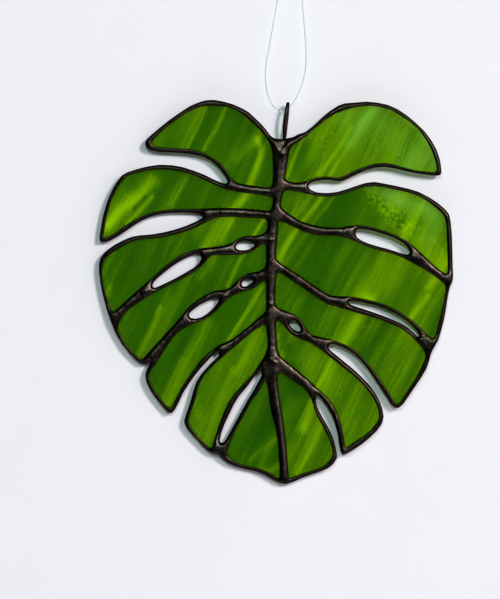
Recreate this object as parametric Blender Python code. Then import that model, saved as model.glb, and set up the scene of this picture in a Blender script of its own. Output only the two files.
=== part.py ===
"""A monstera leaf in copper-foiled stained glass, hung from a wire eye on a clear line.

The leaf stands upright in the XZ plane with its face to -Y, as it hangs.  The origin is the pin
that the line hangs over, so everything else is below it.  Lengths are in metres unless a name
says otherwise.
"""

import bpy
import numpy as np
from mathutils import Vector
from mathutils.geometry import tessellate_polygon

# Driving size: the leaf is 177.4 mm across, and its paper pattern is 354.8 units across.
LEAF_WIDTH = 0.1774
PATTERN_WIDTH = 354.8
UNIT = LEAF_WIDTH / PATTERN_WIDTH
PIN = (290.0, -78.0)

# Sheet glass, copper foil and solder, as half thicknesses and as distances from a window's edge.
GLASS_HALF = 0.0015
FOIL_INNER_HALF = 0.0016
FOIL_OUTER_HALF = 0.0017
GROOVE_HALF = 0.0018
RIM_HALF = 0.0016
CROWN_HALF = 0.0025
FOIL_LAP = 0.0001
GLASS_LAP = 0.0007
FOIL_WRAP = 0.0008
FOIL_EDGE = 0.0009
GROOVE_LAP = 0.001
WINDOW_SLOPE = 0.0005
RIM_SLOPE = 0.0006
FLATNESS = 0.00027

# Wire eye: a hairpin of tinned wire whose feet stand in two pockets of the solder.
EYE_WIRE_RADIUS = 0.00085
EYE_POCKET_RADIUS = 0.001
EYE_FOOT = (284.3, 149.0)
EYE_TOP = (288.0, 103.8)
EYE_SHOULDER = 140.5
EYE_FOOT_SPREAD = 0.0012
EYE_LOOP_SPREAD = 0.0026
EYE_POCKET_TOP = 134.0
EYE_POCKET_FLOOR = 149.8

# Clear nylon line: the knot beside the eye, up the left strand, over the pin and down again.
LINE_RADIUS = 0.00035
LINE_POINTS = 64
KNOT_HALF_LENGTH = 0.0013
KNOT_RADIUS = 0.0009
KNOT = (279.6, 110.4)
LINE_ROUTE = (
    (276.6, 109.2), (273.0, 105.6), (269.2, 98.2), (266.6, 88.5), (265.5, 77.0), (266.6, 62.0),
    (270.2, 42.0), (274.0, 21.0), (277.4, 0.0), (280.3, -22.0), (282.9, -46.0), (284.6, -65.0),
    (287.0, -74.6), (290.0, -77.3), (293.2, -74.6), (296.0, -65.0), (298.6, -44.0), (300.6, -22.0),
    (302.2, 0.0), (304.0, 20.0), (305.5, 38.0), (306.3, 54.0), (305.4, 70.0), (302.6, 83.0),
    (298.4, 93.8), (294.0, 102.2), (290.0, 107.1), (286.4, 109.2), (282.7, 110.0),
)

# Outline of the whole leaf on the pattern: x to the right and y down, round the left side first.
OUTLINE = (
    (290, 137.8), (283, 139.2), (277, 139), (272.5, 137.5), (269.5, 134.5), (266, 129.5),
    (261, 123.8), (255, 118), (249, 112.3), (242, 108.3), (233, 104.3), (224, 101.7),
    (214, 99.9), (206, 100.2), (198, 102.5), (190, 106), (180, 112.5), (170, 119.5),
    (160, 127.5), (151, 135.2), (146, 140), (144.7, 143.5), (145.8, 147.3), (150, 149.9),
    (158, 151.8), (170, 152.5), (182, 153.2), (193, 154.4), (202, 156.5), (210, 160),
    (217, 165.3), (223, 172.5), (227.3, 179), (228, 182), (226.3, 183.8), (222, 183),
    (214, 179.7), (204, 174.7), (194, 170.9), (183, 167.3), (172, 165.3), (160, 164.8),
    (149, 166.2), (138, 168.8), (128, 172), (121.9, 175.2), (116.8, 182), (112.5, 189),
    (108.8, 197), (105.3, 207), (102.6, 217), (100.6, 228), (99.3, 237), (99.3, 241),
    (102, 242.3), (107.5, 241.5), (114, 238.6), (122, 233.8), (131, 227.5), (140, 221.5),
    (149, 217.2), (158, 214.6), (168, 213), (180, 212.6), (192, 212.9), (200.5, 213.5),
    (203.3, 215.5), (202.3, 218.3), (196, 221.6), (186, 226), (174, 230), (162, 232.9),
    (150, 234.8), (139, 235.6), (131, 237.1), (122, 240.9), (113, 245.9), (105.5, 251.5),
    (100.5, 257.5), (98.7, 264), (98.7, 272), (100.3, 284), (103, 297), (106.5, 309.5),
    (110.5, 321.5), (115.5, 333.5), (122, 344.5), (129.5, 354), (137, 361.2), (141.5, 364.5),
    (145, 364.5), (150.3, 360.7), (149.8, 363), (146.8, 369), (145, 375.5), (146, 382),
    (150, 390), (156, 399), (162.5, 407), (168.5, 413.3), (171.5, 414), (175, 410),
    (179.3, 401.5), (183.5, 392.5), (189, 384), (195, 375.6), (201, 368.2), (208, 360.6),
    (214, 354.3), (217, 351.4), (219.6, 352.6), (219, 356.2), (213, 361.5), (207, 368),
    (201, 374.8), (196.5, 382), (193.3, 391), (191, 399.5), (188, 409), (185.5, 416.5),
    (183.9, 422), (186, 427.5), (191, 434), (197.5, 441), (204, 448), (209.5, 452.7),
    (214, 454.5), (217.5, 454.5), (221.5, 458.7), (227.5, 463.3), (235, 466.8), (245, 469.4),
    (255, 471.6), (264, 475), (272, 479.5), (279, 483.3), (286, 484.6), (292, 482.9),
    (300, 479.3), (310, 475.4), (320, 472.2), (328, 469), (333, 465), (336.5, 460),
    (337.3, 456), (336, 449), (334, 440.5), (330.5, 432), (326, 423.5), (321, 415),
    (317.5, 407.5), (315.6, 400.5), (315.3, 396.5), (317.3, 395), (321, 398.5), (326.5, 406),
    (331.5, 414.5), (335, 424), (337.8, 434), (339, 444), (340.7, 452.5), (343, 455.2),
    (347, 454.3), (354, 450.2), (362, 444.8), (370, 438.3), (377, 431.5), (382, 424.3),
    (383.9, 417), (382.8, 410), (380, 402), (375.5, 393.5), (370, 386), (363, 378.5),
    (355, 370.8), (346, 363.4), (337, 356), (330.5, 350.8), (328, 347.7), (329.3, 345),
    (333, 344.2), (339, 346), (347, 349.8), (354, 354.3), (361, 361), (368, 369.2),
    (374, 378), (380, 387), (385.5, 395.5), (390.5, 404), (395, 408.3), (399, 408.5),
    (403.5, 404.5), (409, 396.5), (415, 387.5), (421, 378.7), (426.5, 369.5), (429.5, 361),
    (431, 354.5), (434, 348.5), (438.3, 341), (441, 332.5), (444, 321), (446.3, 309),
    (448, 297), (450, 287.5), (452.8, 281.5), (453.5, 276), (452.9, 265), (452.6, 250),
    (452.2, 236), (451, 222), (449.5, 214.5), (445.5, 209.5), (438, 203), (429, 197.2),
    (419, 192), (408, 188.7), (396, 186), (385, 183.8), (375, 182), (366, 183),
    (357, 185.8), (347, 189.3), (337, 192.2), (327, 193.3), (317, 192.6), (310.5, 190),
    (308, 186.3), (309.5, 183.5), (315, 181.3), (321, 180.1), (328, 179.9), (335, 180.8),
    (341, 181.5), (348, 178.6), (357, 174), (367, 169.9), (376, 167.5), (385, 166.9),
    (395, 168.6), (406, 171.5), (418, 173.8), (430, 175.2), (438, 176), (441.5, 174.5),
    (441.7, 169.5), (440.3, 160), (437, 150), (432, 141), (425, 131.5), (416, 122.8),
    (407, 115.3), (398, 109.3), (388, 104.8), (377, 102.5), (366, 101.6), (355, 102.6),
    (345, 103.3), (338, 105.8), (330, 111), (321, 118.7), (313, 126.5), (305, 132.3),
    (298, 134.4), (294, 136.8),
)

# The eight openings right through the leaf.
HOLES = (
    (
        (235.4, 247), (236.5, 249.3), (240, 250.5), (245, 250.5), (250, 249.3), (253.7, 246.7),
        (255.2, 244.3), (253.5, 241.8), (249, 240.8), (243.5, 240.9), (238.5, 242.3),
    ),
    (
        (152.2, 287), (154.5, 288.2), (160, 286), (167, 282.6), (174, 279.2), (181, 275.5),
        (188, 271.3), (194.5, 267.5), (199, 263.3), (201.6, 258), (200, 253.7), (195.5, 254),
        (188, 257), (180, 261.2), (172, 266.7), (164, 272.8), (157, 278.8), (153, 283),
    ),
    (
        (241.2, 284.5), (242.3, 286.5), (245, 287), (248, 285.8), (251.5, 283.2),
        (253.5, 280.5), (252.5, 278.3), (249.5, 278), (245.5, 279.5), (242.3, 281.7),
    ),
    (
        (188.5, 315), (190.3, 318.2), (195, 319.1), (201, 317.7), (207, 314.2), (212.5, 309.7),
        (216.5, 304.8), (219, 300.2), (218.3, 297.4), (214.5, 297.8), (208, 300.8),
        (201, 304.2), (194.5, 308.8), (190, 312.8),
    ),
    (
        (260.3, 369.9), (262, 372.3), (261.5, 376), (258, 383), (253.5, 391), (248, 400),
        (242.5, 410), (237, 420), (231.3, 430.3), (226.5, 439), (223.8, 443), (221, 443.6),
        (219.6, 441), (221, 434), (224.3, 424.8), (229, 415), (234, 404.5), (239.5, 396),
        (246, 388.5), (252.5, 379.8), (257.5, 373),
    ),
    (
        (355.3, 232.5), (357, 237.5), (361.5, 240.7), (369, 243.9), (378, 246.6), (387, 248.9),
        (396, 251.7), (403, 254.1), (408, 255), (410.4, 252.7), (409, 249), (404.5, 244),
        (398, 240), (390, 236.4), (381, 233.4), (372, 230.8), (363, 229), (357.3, 229),
    ),
    (
        (348, 302.7), (351, 305.2), (358, 307.6), (366, 310.1), (374, 312.8), (383, 316),
        (392, 319.6), (401, 323.8), (408.5, 328.5), (414, 333.7), (418, 337.4), (420.2, 336),
        (417, 331), (411, 324.7), (403, 318.3), (394, 313), (385, 308.6), (376, 305.4),
        (367, 303.5), (358, 301.6), (351, 300.8),
    ),
    (
        (289, 323.3), (290.5, 326.5), (294, 330), (298, 332.1), (300.8, 331), (300.6, 327.7),
        (298.5, 323.7), (295.5, 320.7), (291.7, 320),
    ),
)

# What shows of each pane inside the solder, from the top lobe down on each side of the midrib.
WINDOWS = {
    "left_1": (
        (151.5, 142.5), (152.8, 145.7), (158, 147.2), (168, 148), (180, 148.6), (192, 149.8),
        (201, 152), (209, 156), (216, 160), (222, 164.8), (227, 171.5), (231, 178), (235, 182),
        (241, 184), (250, 185.5), (260, 187), (269, 188), (272.3, 186), (273.2, 178),
        (273.2, 165), (272.5, 153), (270.5, 144.5), (266, 137), (259, 129), (251, 121.5),
        (243, 114.5), (235, 109.8), (226, 106.8), (214, 105.9), (203, 106.3), (194, 109),
        (184, 114.5), (174, 121.5), (164, 129.5), (156, 136.8),
    ),
    "left_2": (
        (127, 176.3), (121, 182.7), (116, 190.7), (111.5, 200), (108.3, 210), (106, 220),
        (104.3, 230), (103, 236.5), (104.5, 238.4), (109.5, 236.5), (117, 232), (126, 225.3),
        (135, 219.5), (144, 215.6), (153, 212.5), (162, 210.6), (172, 209.5), (185, 209.1),
        (200, 209), (215, 208.3), (230, 208.2), (245, 208.9), (258, 210), (268.5, 211.2),
        (271.3, 209.5), (272.8, 203), (273.7, 199), (271.5, 197), (262, 195), (250, 193.7),
        (238, 192), (227, 189.8), (216, 185.5), (206, 180.8), (195, 175.6), (184, 172.3),
        (172, 170.2), (160, 169.5), (148, 170.7), (136, 173.2),
    ),
    "left_3": (
        (105, 259), (102.6, 265), (102, 273), (103.3, 283), (105.5, 293), (108.3, 303),
        (111, 310), (113.5, 312.3), (117.5, 309), (124, 303), (132, 295.7), (140, 288.6),
        (148, 281.7), (156, 274.3), (164, 267.3), (172, 261), (180, 256), (188, 252.2),
        (197, 249.2), (208, 247.8), (219, 246.8), (227, 245.2), (234, 241.8), (240, 238),
        (246, 236), (252, 236.1), (259, 235.7), (264.5, 233.5), (267, 229.5), (267.9, 223.5),
        (266.5, 219.3), (261, 218.1), (248, 217.9), (236, 217), (225, 216.9), (215, 218.2),
        (206, 222.5), (196, 227.6), (186, 231.6), (174, 235), (162, 237.9), (150, 239),
        (138, 240), (129, 243.2), (119, 248.6), (110.5, 254),
    ),
    "left_4": (
        (117.2, 328.5), (120.5, 335.7), (125.3, 344), (130.7, 350.8), (136.5, 356.4),
        (141.5, 360.4), (145, 356.9), (151, 350), (158, 342.4), (165, 334.7), (172, 327.3),
        (179, 319.2), (185, 311.7), (191, 305), (198, 300), (206, 294.8), (214, 291.3),
        (222, 290.3), (228, 289.3), (232.5, 285.7), (238, 280.3), (244, 275.7), (250, 273),
        (256, 272.2), (261, 270.9), (265, 267.5), (266.3, 262), (266.3, 252), (266, 245),
        (264, 243.6), (259, 246.5), (253.7, 250.9), (248.4, 253.4), (240, 254.9), (228, 255.1),
        (216, 255.2), (210.5, 256.3), (206.5, 261), (201.5, 266.4), (195, 271.7), (187, 276.6),
        (178, 281), (168, 286), (158, 290.8), (148, 296.5), (139, 302), (130, 308.8),
        (123.5, 315), (119.5, 321.5),
    ),
    "left_5": (
        (148.4, 376.5), (150.5, 383), (155, 391.2), (160.5, 399.2), (166, 405.5),
        (170.3, 408.7), (173, 405), (176.5, 397.5), (181, 389), (186.5, 380.5), (193, 371),
        (199.5, 362), (206, 355.3), (213, 349.8), (219, 345.3), (226, 342.6), (232, 339.5),
        (240, 333.5), (248, 327.2), (256, 320.2), (263, 314.3), (266, 311.5), (266.4, 303),
        (266.4, 290), (266.2, 280.8), (264.5, 280), (260, 284), (254.5, 288.2), (247, 290.8),
        (239, 293), (232, 296.3), (226.5, 300), (222, 305), (217.5, 310), (212, 315),
        (204, 320), (195, 323.5), (186, 327.3), (179, 332), (173, 338), (167.5, 345.7),
        (162.5, 353.5), (157, 362.3), (151.5, 370),
    ),
    "left_6": (
        (200.3, 382.5), (198, 389), (196, 397), (193.5, 405), (190.5, 413.5), (188, 421),
        (190.8, 427.3), (195.3, 433.7), (200.5, 440), (206, 445.3), (210.7, 448.8),
        (213, 446.5), (214.5, 440), (217, 431), (220.3, 421.5), (224.2, 411.5), (229, 402),
        (234.5, 394), (240.5, 387.5), (247, 380.5), (253.5, 373.2), (259, 365), (264, 357.5),
        (267, 350.5), (268, 343), (267.3, 334), (266, 325.5), (264.3, 324.3), (258, 328.3),
        (250, 334), (242, 341), (234, 347.8), (226, 354.5), (218, 361.3), (210.5, 368.5),
        (204.5, 375.5),
    ),
    "left_7": (
        (256.5, 395), (252, 401), (247.5, 409), (243, 417.5), (238, 426.3), (233.5, 435),
        (229.8, 443.5), (227, 452), (228.5, 456.5), (233.5, 461), (241, 465), (250, 467),
        (259, 468.7), (267, 472), (274, 476), (279.3, 479.2), (280, 474), (279.5, 464),
        (278.9, 452), (278, 441), (276.3, 430), (273.5, 420), (271, 410), (269.5, 400),
        (268.5, 390), (267, 383), (265, 379.7), (262, 386),
    ),
    "right_1": (
        (285.3, 179), (287.5, 181.4), (295, 182.7), (302, 182.6), (309, 180.3), (316, 177.9),
        (324, 176.7), (331, 177.2), (338, 178.2), (345, 175.8), (354, 171), (364, 167.1),
        (374, 164.1), (384, 163.1), (393, 164.5), (403, 167.4), (415, 170.4), (427, 171.9),
        (434.7, 172.6), (437.3, 170.5), (436.7, 165.5), (434.8, 158.5), (431.3, 149),
        (426, 139.5), (419, 130), (410, 122), (401, 116), (392, 110.5), (381, 107.2),
        (369, 105.8), (357, 107), (345, 110), (335, 114), (325, 120.5), (315, 128.5),
        (306, 136.5), (299.5, 141.5), (293, 145), (289.7, 150.5), (287.8, 160), (286.3, 170),
    ),
    "right_2": (
        (283.3, 192), (281.5, 200), (280.6, 206), (284, 210.5), (291, 215.7), (300, 221),
        (310, 224.5), (320, 226.8), (330, 227.9), (340, 227.8), (349, 226.2), (358, 225.3),
        (367, 226.3), (377, 228.9), (388, 232.4), (398, 236.4), (407, 241.4), (415, 247.7),
        (423, 255), (431, 262.8), (439, 269.8), (446, 274.5), (448, 273), (448, 262),
        (447.6, 248), (447.2, 235), (446.4, 223), (444, 215), (437, 208.5), (428, 201.7),
        (418, 195.8), (407, 192.4), (395, 189.8), (384, 187.2), (374, 186.1), (364, 187.1),
        (354, 190.5), (344, 193.9), (334, 196.5), (325, 197), (315, 195.7), (305, 193.2),
        (294, 191.2), (286, 190.2),
    ),
    "right_3": (
        (278.8, 221), (277.7, 230), (276.9, 240), (276.2, 250), (276, 258.5), (279.5, 262.8),
        (287, 267.8), (295, 272.7), (304, 279), (313, 285.3), (322, 291.3), (329, 295.3),
        (337, 296.5), (346, 296.6), (355, 297.4), (364, 299.1), (374, 301.5), (384, 304.4),
        (394, 308.9), (403, 314.1), (412, 320.4), (420, 327.7), (427, 335), (432.5, 339.2),
        (435.3, 336.5), (438.5, 325.5), (441.5, 313), (444, 301), (445.8, 290), (445.7, 285),
        (441, 281), (433, 274.8), (424, 269), (414, 263.6), (404, 258.2), (394, 254.6),
        (383, 251.4), (372, 248.8), (362, 244.6), (353, 240.4), (345, 237.3), (335, 235.8),
        (324, 235.8), (313, 234.5), (303, 231.5), (293, 226.6), (284, 222),
    ),
    "right_4": (
        (276.8, 273.5), (275.8, 284), (275.2, 295), (275.3, 304.5), (278.5, 308.8),
        (286, 311.3), (294, 314.8), (300, 319.3), (304.2, 325.3), (307.5, 331.3), (312, 335.2),
        (320, 337.3), (329, 339.3), (338, 342), (347, 345.8), (355, 350.7), (362.5, 357.5),
        (370, 366.1), (376, 374), (382, 382.3), (387.5, 390.5), (392.3, 399), (396, 404.6),
        (399.3, 403.5), (405, 395.5), (411, 386), (417, 376.5), (422, 367.3), (425, 359.8),
        (425.7, 355), (423.5, 349.3), (417.5, 342.5), (410, 335), (401, 328.5), (391, 323.8),
        (380, 319.7), (369, 316.3), (357, 313), (346, 309.6), (337, 306.6), (328, 304.5),
        (320, 299.7), (311, 293.4), (302, 287.2), (293, 281.3), (284, 275.2), (279, 272.5),
    ),
    "right_5": (
        (276, 321.5), (276.3, 331), (277, 341), (277.5, 349), (280, 356), (286, 361.7),
        (293, 367), (300, 372.8), (307, 378.8), (313, 384.3), (318, 389), (323.5, 393.8),
        (328.8, 399.3), (333.3, 405.7), (337.3, 413), (340.3, 421), (342.3, 429),
        (343.6, 437), (344.4, 444.5), (345.7, 448.6), (349.5, 445.7), (356, 441.3),
        (364, 436.2), (371, 430.2), (376.5, 423.7), (379.3, 418), (378.8, 411), (376, 403.3),
        (371, 394.5), (365.5, 387.5), (359, 380.7), (351, 373.8), (342, 366.7), (333, 359.4),
        (325, 353), (317, 347.2), (309, 342.3), (300, 338.8), (293, 335.5), (288, 330.8),
        (283.5, 324.8), (279.5, 321),
    ),
    "right_6": (
        (277.6, 374), (277.8, 384), (278.7, 394), (280.3, 404), (282.2, 414), (283.8, 424),
        (285, 434), (286.2, 445), (287.3, 457), (288, 468), (289, 478.3), (291, 478.6),
        (297, 475.8), (305, 473.2), (314, 470.3), (322, 467.3), (327.5, 463.5),
        (331.5, 458.5), (333.2, 454.5), (332, 447.5), (329, 438.5), (325, 430),
        (320.5, 422.5), (316.5, 415), (313.8, 407.5), (311.8, 400), (308, 393), (303, 387.5),
        (296, 382.7), (289, 377.8), (282.5, 373.3),
    ),
}


def clear_scene():
    """Removes whatever the startup scene holds."""
    for obj in list(bpy.data.objects):
        bpy.data.objects.remove(obj, do_unlink=True)


def material(name, colour, roughness, metallic=0.0, transmission=0.0):
    """One Principled material under a plain name."""
    made = bpy.data.materials.new(name)
    made.use_nodes = True
    shader = made.node_tree.nodes["Principled BSDF"]
    shader.inputs["Base Color"].default_value = (*colour, 1.0)
    shader.inputs["Roughness"].default_value = roughness
    shader.inputs["Metallic"].default_value = metallic
    shader.inputs["Transmission Weight"].default_value = transmission
    return made


def placed(points):
    """Pattern points as X and Z in metres from the pin, listed anticlockwise as seen in front."""
    flat = np.array(points, float)
    flat = np.column_stack([flat[:, 0] - PIN[0], PIN[1] - flat[:, 1]]) * UNIT
    following = np.roll(flat, -1, axis=0)
    area = (flat[:, 0] * following[:, 1] - following[:, 0] * flat[:, 1]).sum()
    return flat if area > 0 else flat[::-1]


def kept_between(points, first, last, keep):
    """Marks in keep the points between two others that the straight line misses."""
    if last - first < 2:
        return
    start, run = points[first], points[last] - points[first]
    away = points[first + 1:last] - start
    miss = np.abs(run[0] * away[:, 1] - run[1] * away[:, 0]) / np.hypot(*run)
    worst = int(miss.argmax())
    if miss[worst] > FLATNESS:
        middle = first + 1 + worst
        keep[middle] = True
        kept_between(points, first, middle, keep)
        kept_between(points, middle, last, keep)


def thinned(loop):
    """The loop without the points that lie on a nearly straight run."""
    closed = np.vstack([loop, loop[:1]])
    far = int(np.hypot(*(loop - loop[0]).T).argmax())
    keep = np.zeros(len(closed), bool)
    keep[[0, far]] = True
    kept_between(closed, 0, far, keep)
    kept_between(closed, far, len(loop), keep)
    return loop[keep[:-1]]


def offset(loop, distance):
    """The loop moved outwards by a distance, with mitred corners."""
    run = np.roll(loop, -1, axis=0) - loop
    normal = np.column_stack([run[:, 1], -run[:, 0]]) / np.hypot(*run.T)[:, None]
    before = np.roll(normal, 1, axis=0)
    spread = np.maximum(1.0 + (normal * before).sum(axis=1), 0.45)
    return loop + distance * (normal + before) / spread[:, None]


class Shell:
    """Collects the points and faces of one closed solid."""

    def __init__(self):
        self.points = []
        self.faces = []

    def row(self, loop, y):
        """Adds one closed row of points at a depth and returns where it starts."""
        start = len(self.points)
        self.points += [(x, y, z) for x, z in loop]
        return start

    def band(self, first, second, count):
        """Joins two rows of the same count by a band of quads."""
        for i in range(count):
            j = (i + 1) % count
            self.faces.append((first + i, second + i, second + j, first + j))

    def wall(self, loop, profile, reverse=False, closed=False):
        """Sweeps a profile of (distance outwards, depth) round a loop; returns its end rows."""
        rows = []
        for distance, y in profile:
            shape = offset(loop, distance)
            rows.append((self.row(shape[::-1] if reverse else shape, y)))
        for first, second in zip(rows, rows[1:] + rows[:1] if closed else rows[1:]):
            self.band(first, second, len(loop))
        return rows[0], rows[-1]

    def cap(self, rows, front):
        """Fills the face between an outer row and the rows inside it."""
        loops = [[Vector((self.points[start + i][0], self.points[start + i][2], 0.0))
                  for i in range(count)] for start, count in rows]
        index = [start + i for start, count in rows for i in range(count)]
        for face in tessellate_polygon(loops):
            a, b, c = (index[i] for i in face)
            (ax, _, az), (bx, _, bz), (cx, _, cz) = (self.points[i] for i in (a, b, c))
            turn = (bx - ax) * (cz - az) - (bz - az) * (cx - ax)
            self.faces.append((a, b, c) if (turn > 0) == front else (a, c, b))

    def make(self, name, finish):
        """Turns the shell into a named object."""
        mesh = bpy.data.meshes.new(name)
        mesh.from_pydata(self.points, [], self.faces)
        mesh.materials.append(finish)
        made = bpy.data.objects.new(name, mesh)
        bpy.context.scene.collection.objects.link(made)
        return made


def make_pane(name, window, finish):
    """One sheet of glass, whose edge lies hidden under the solder."""
    shell = Shell()
    front, back = shell.wall(window, [(GLASS_LAP, -GLASS_HALF), (GLASS_LAP, GLASS_HALF)])
    shell.cap([(front, len(window))], True)
    shell.cap([(back, len(window))], False)
    return shell.make(name, finish)


def make_foil(name, window, finish):
    """The strip of copper foil that wraps one pane's edge and laps both its faces."""
    profile = [
        (FOIL_LAP, -FOIL_OUTER_HALF), (FOIL_EDGE, -FOIL_OUTER_HALF),
        (FOIL_EDGE, FOIL_OUTER_HALF), (FOIL_LAP, FOIL_OUTER_HALF),
        (FOIL_LAP, FOIL_INNER_HALF), (FOIL_WRAP, FOIL_INNER_HALF),
        (FOIL_WRAP, -FOIL_INNER_HALF), (FOIL_LAP, -FOIL_INNER_HALF),
    ]
    shell = Shell()
    shell.wall(window, profile, closed=True)
    return shell.make(name, finish)


def make_solder(outline, holes, windows, finish):
    """The one soldered network: rims, seams and midrib, grooved for the foiled panes."""
    rim = [(-RIM_SLOPE, -CROWN_HALF), (0.0, -RIM_HALF), (0.0, RIM_HALF), (-RIM_SLOPE, CROWN_HALF)]
    hole_rim = [(-distance, y) for distance, y in rim]
    channel = [
        (WINDOW_SLOPE, -CROWN_HALF), (0.0, -GROOVE_HALF), (GROOVE_LAP, -GROOVE_HALF),
        (GROOVE_LAP, GROOVE_HALF), (0.0, GROOVE_HALF), (WINDOW_SLOPE, CROWN_HALF),
    ]
    shell = Shell()
    fronts, backs = [], []
    walls = [(outline, rim, False)]
    walls += [(hole, hole_rim, True) for hole in holes]
    walls += [(window, channel, True) for window in windows]
    for loop, profile, reverse in walls:
        front, back = shell.wall(loop, profile, reverse)
        fronts.append((front, len(loop)))
        backs.append((back, len(loop)))
    shell.cap(fronts, True)
    shell.cap(backs, False)
    return shell.make("solder_network", finish)


def cut_pocket(solder, y):
    """Cuts the round pocket that one foot of the wire eye stands in."""
    bottom, top = PIN[1] - EYE_POCKET_FLOOR, PIN[1] - EYE_POCKET_TOP
    bpy.ops.mesh.primitive_cylinder_add(
        vertices=16, radius=EYE_POCKET_RADIUS, depth=(top - bottom) * UNIT,
        location=((EYE_FOOT[0] - PIN[0]) * UNIT, y, (top + bottom) / 2 * UNIT),
    )
    cutter = bpy.context.object
    cutter.name = "pocket_cutter_front" if y < 0 else "pocket_cutter_back"
    cutter.hide_render = True
    cut = solder.modifiers.new("pocket", "BOOLEAN")
    cut.operation = "DIFFERENCE"
    cut.solver = "EXACT"
    cut.object = cutter


def smooth(points, count):
    """Points at equal steps along a smooth curve through the given ones."""
    ends = np.vstack([2 * points[0] - points[1], points, 2 * points[-1] - points[-2]])
    t = np.linspace(0.0, 1.0, 25)[:-1, None]
    pieces = []
    for a, b, c, d in zip(ends, ends[1:], ends[2:], ends[3:]):
        pieces.append(0.5 * (2 * b + (c - a) * t + (2 * a - 5 * b + 4 * c - d) * t**2
                             + (3 * b - a - 3 * c + d) * t**3))
    fine = np.vstack([*pieces, points[-1:]])
    along = np.append(0.0, np.cumsum(np.linalg.norm(np.diff(fine, axis=0), axis=1)))
    steps = np.linspace(0.0, along[-1], count)
    return np.column_stack([np.interp(steps, along, fine[:, k]) for k in range(3)])


def make_tube(name, path, radius, sides, finish):
    """A round wire or line along a path, with closed ends."""
    curve = bpy.data.curves.new(name, "CURVE")
    curve.dimensions = "3D"
    curve.bevel_depth = radius
    curve.bevel_resolution = sides
    curve.use_fill_caps = True
    spline = curve.splines.new("POLY")
    spline.points.add(len(path) - 1)
    for point, place in zip(spline.points, path):
        point.co = (*place, 1.0)
    curve.materials.append(finish)
    made = bpy.data.objects.new(name, curve)
    bpy.context.scene.collection.objects.link(made)
    return made


def eye_path():
    """The hairpin's centre line: up from the back foot, over the top and down to the front one."""
    foot, top = PIN[1] - EYE_FOOT[1], PIN[1] - EYE_TOP[1]
    shoulder = PIN[1] - EYE_SHOULDER
    rise = top - shoulder
    half = [
        (EYE_FOOT_SPREAD, foot), (EYE_FOOT_SPREAD, (foot + shoulder) / 2),
        (EYE_FOOT_SPREAD, shoulder), (EYE_FOOT_SPREAD * 1.25, shoulder + rise * 0.14),
        (EYE_LOOP_SPREAD * 0.82, shoulder + rise * 0.34),
        (EYE_LOOP_SPREAD * 0.98, shoulder + rise * 0.56),
        (EYE_LOOP_SPREAD * 0.97, shoulder + rise * 0.76),
        (EYE_LOOP_SPREAD * 0.62, shoulder + rise * 0.94),
    ]
    outline = half + [(0.0, top)] + [(-y, height) for y, height in reversed(half)]
    places = []
    for y, height in outline:
        lean = max(0.0, (height - shoulder) / rise) * (EYE_TOP[0] - EYE_FOOT[0])
        places.append(((EYE_FOOT[0] + lean - PIN[0]) * UNIT, y, height * UNIT))
    return smooth(np.array(places), 34)


def line_path():
    """The line's centre line, in the leaf's own plane."""
    return smooth(np.array([((x - PIN[0]) * UNIT, 0.0, (PIN[1] - y) * UNIT)
                            for x, y in LINE_ROUTE]), LINE_POINTS)


def make_knot(path, finish):
    """The small knot between the two ends of the line."""
    centre = Vector(((KNOT[0] - PIN[0]) * UNIT, 0.0, (PIN[1] - KNOT[1]) * UNIT))
    along = Vector(path[0]) - Vector(path[-1])
    bpy.ops.mesh.primitive_uv_sphere_add(segments=10, ring_count=6, radius=1.0)
    knot = bpy.context.object
    knot.name = "line_knot"
    knot.rotation_euler = along.to_track_quat("Z", "Y").to_euler()
    knot.scale = (KNOT_RADIUS, KNOT_RADIUS, KNOT_HALF_LENGTH)
    knot.location = centre
    knot.data.materials.append(finish)
    return knot


def main():
    """Builds every piece of the leaf where it hangs."""
    clear_scene()
    glass = material("streaky_green_glass", (0.10, 0.32, 0.01), 0.12, transmission=0.6)
    copper = material("copper_foil", (0.78, 0.38, 0.22), 0.35, metallic=1.0)
    patina = material("black_patina_solder", (0.06, 0.04, 0.035), 0.3, metallic=0.8)
    tinned = material("patina_wire", (0.05, 0.03, 0.028), 0.35, metallic=0.8)
    nylon = material("clear_nylon", (0.85, 0.9, 0.9), 0.1, transmission=0.9)
    windows = {name: thinned(placed(points)) for name, points in WINDOWS.items()}
    for name, window in windows.items():
        make_pane(f"glass_{name}", window, glass)
        make_foil(f"foil_{name}", window, copper)
    holes = [thinned(placed(points)) for points in HOLES]
    solder = make_solder(thinned(placed(OUTLINE)), holes, list(windows.values()), patina)
    for y in (-EYE_FOOT_SPREAD, EYE_FOOT_SPREAD):
        cut_pocket(solder, y)
    make_tube("wire_eye", eye_path(), EYE_WIRE_RADIUS, 3, tinned)
    route = line_path()
    make_tube("hanging_line", route, LINE_RADIUS, 2, nylon)
    make_knot(route, nylon)


main()
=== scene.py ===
"""A monstera leaf suncatcher in stained glass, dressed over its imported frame.

The leaf stands in the XZ plane with its face to -Y and hangs from the origin, as its solids do.
Shapes are drawn on the maker's pattern, whose units are half millimetres with x to the right and
y down, and are placed in metres by to_metres.
"""

import logging
import math
from dataclasses import dataclass
from enum import Enum
from itertools import chain

import bpy
import numpy as np
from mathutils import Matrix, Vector
from mathutils.geometry import delaunay_2d_cdt


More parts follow.
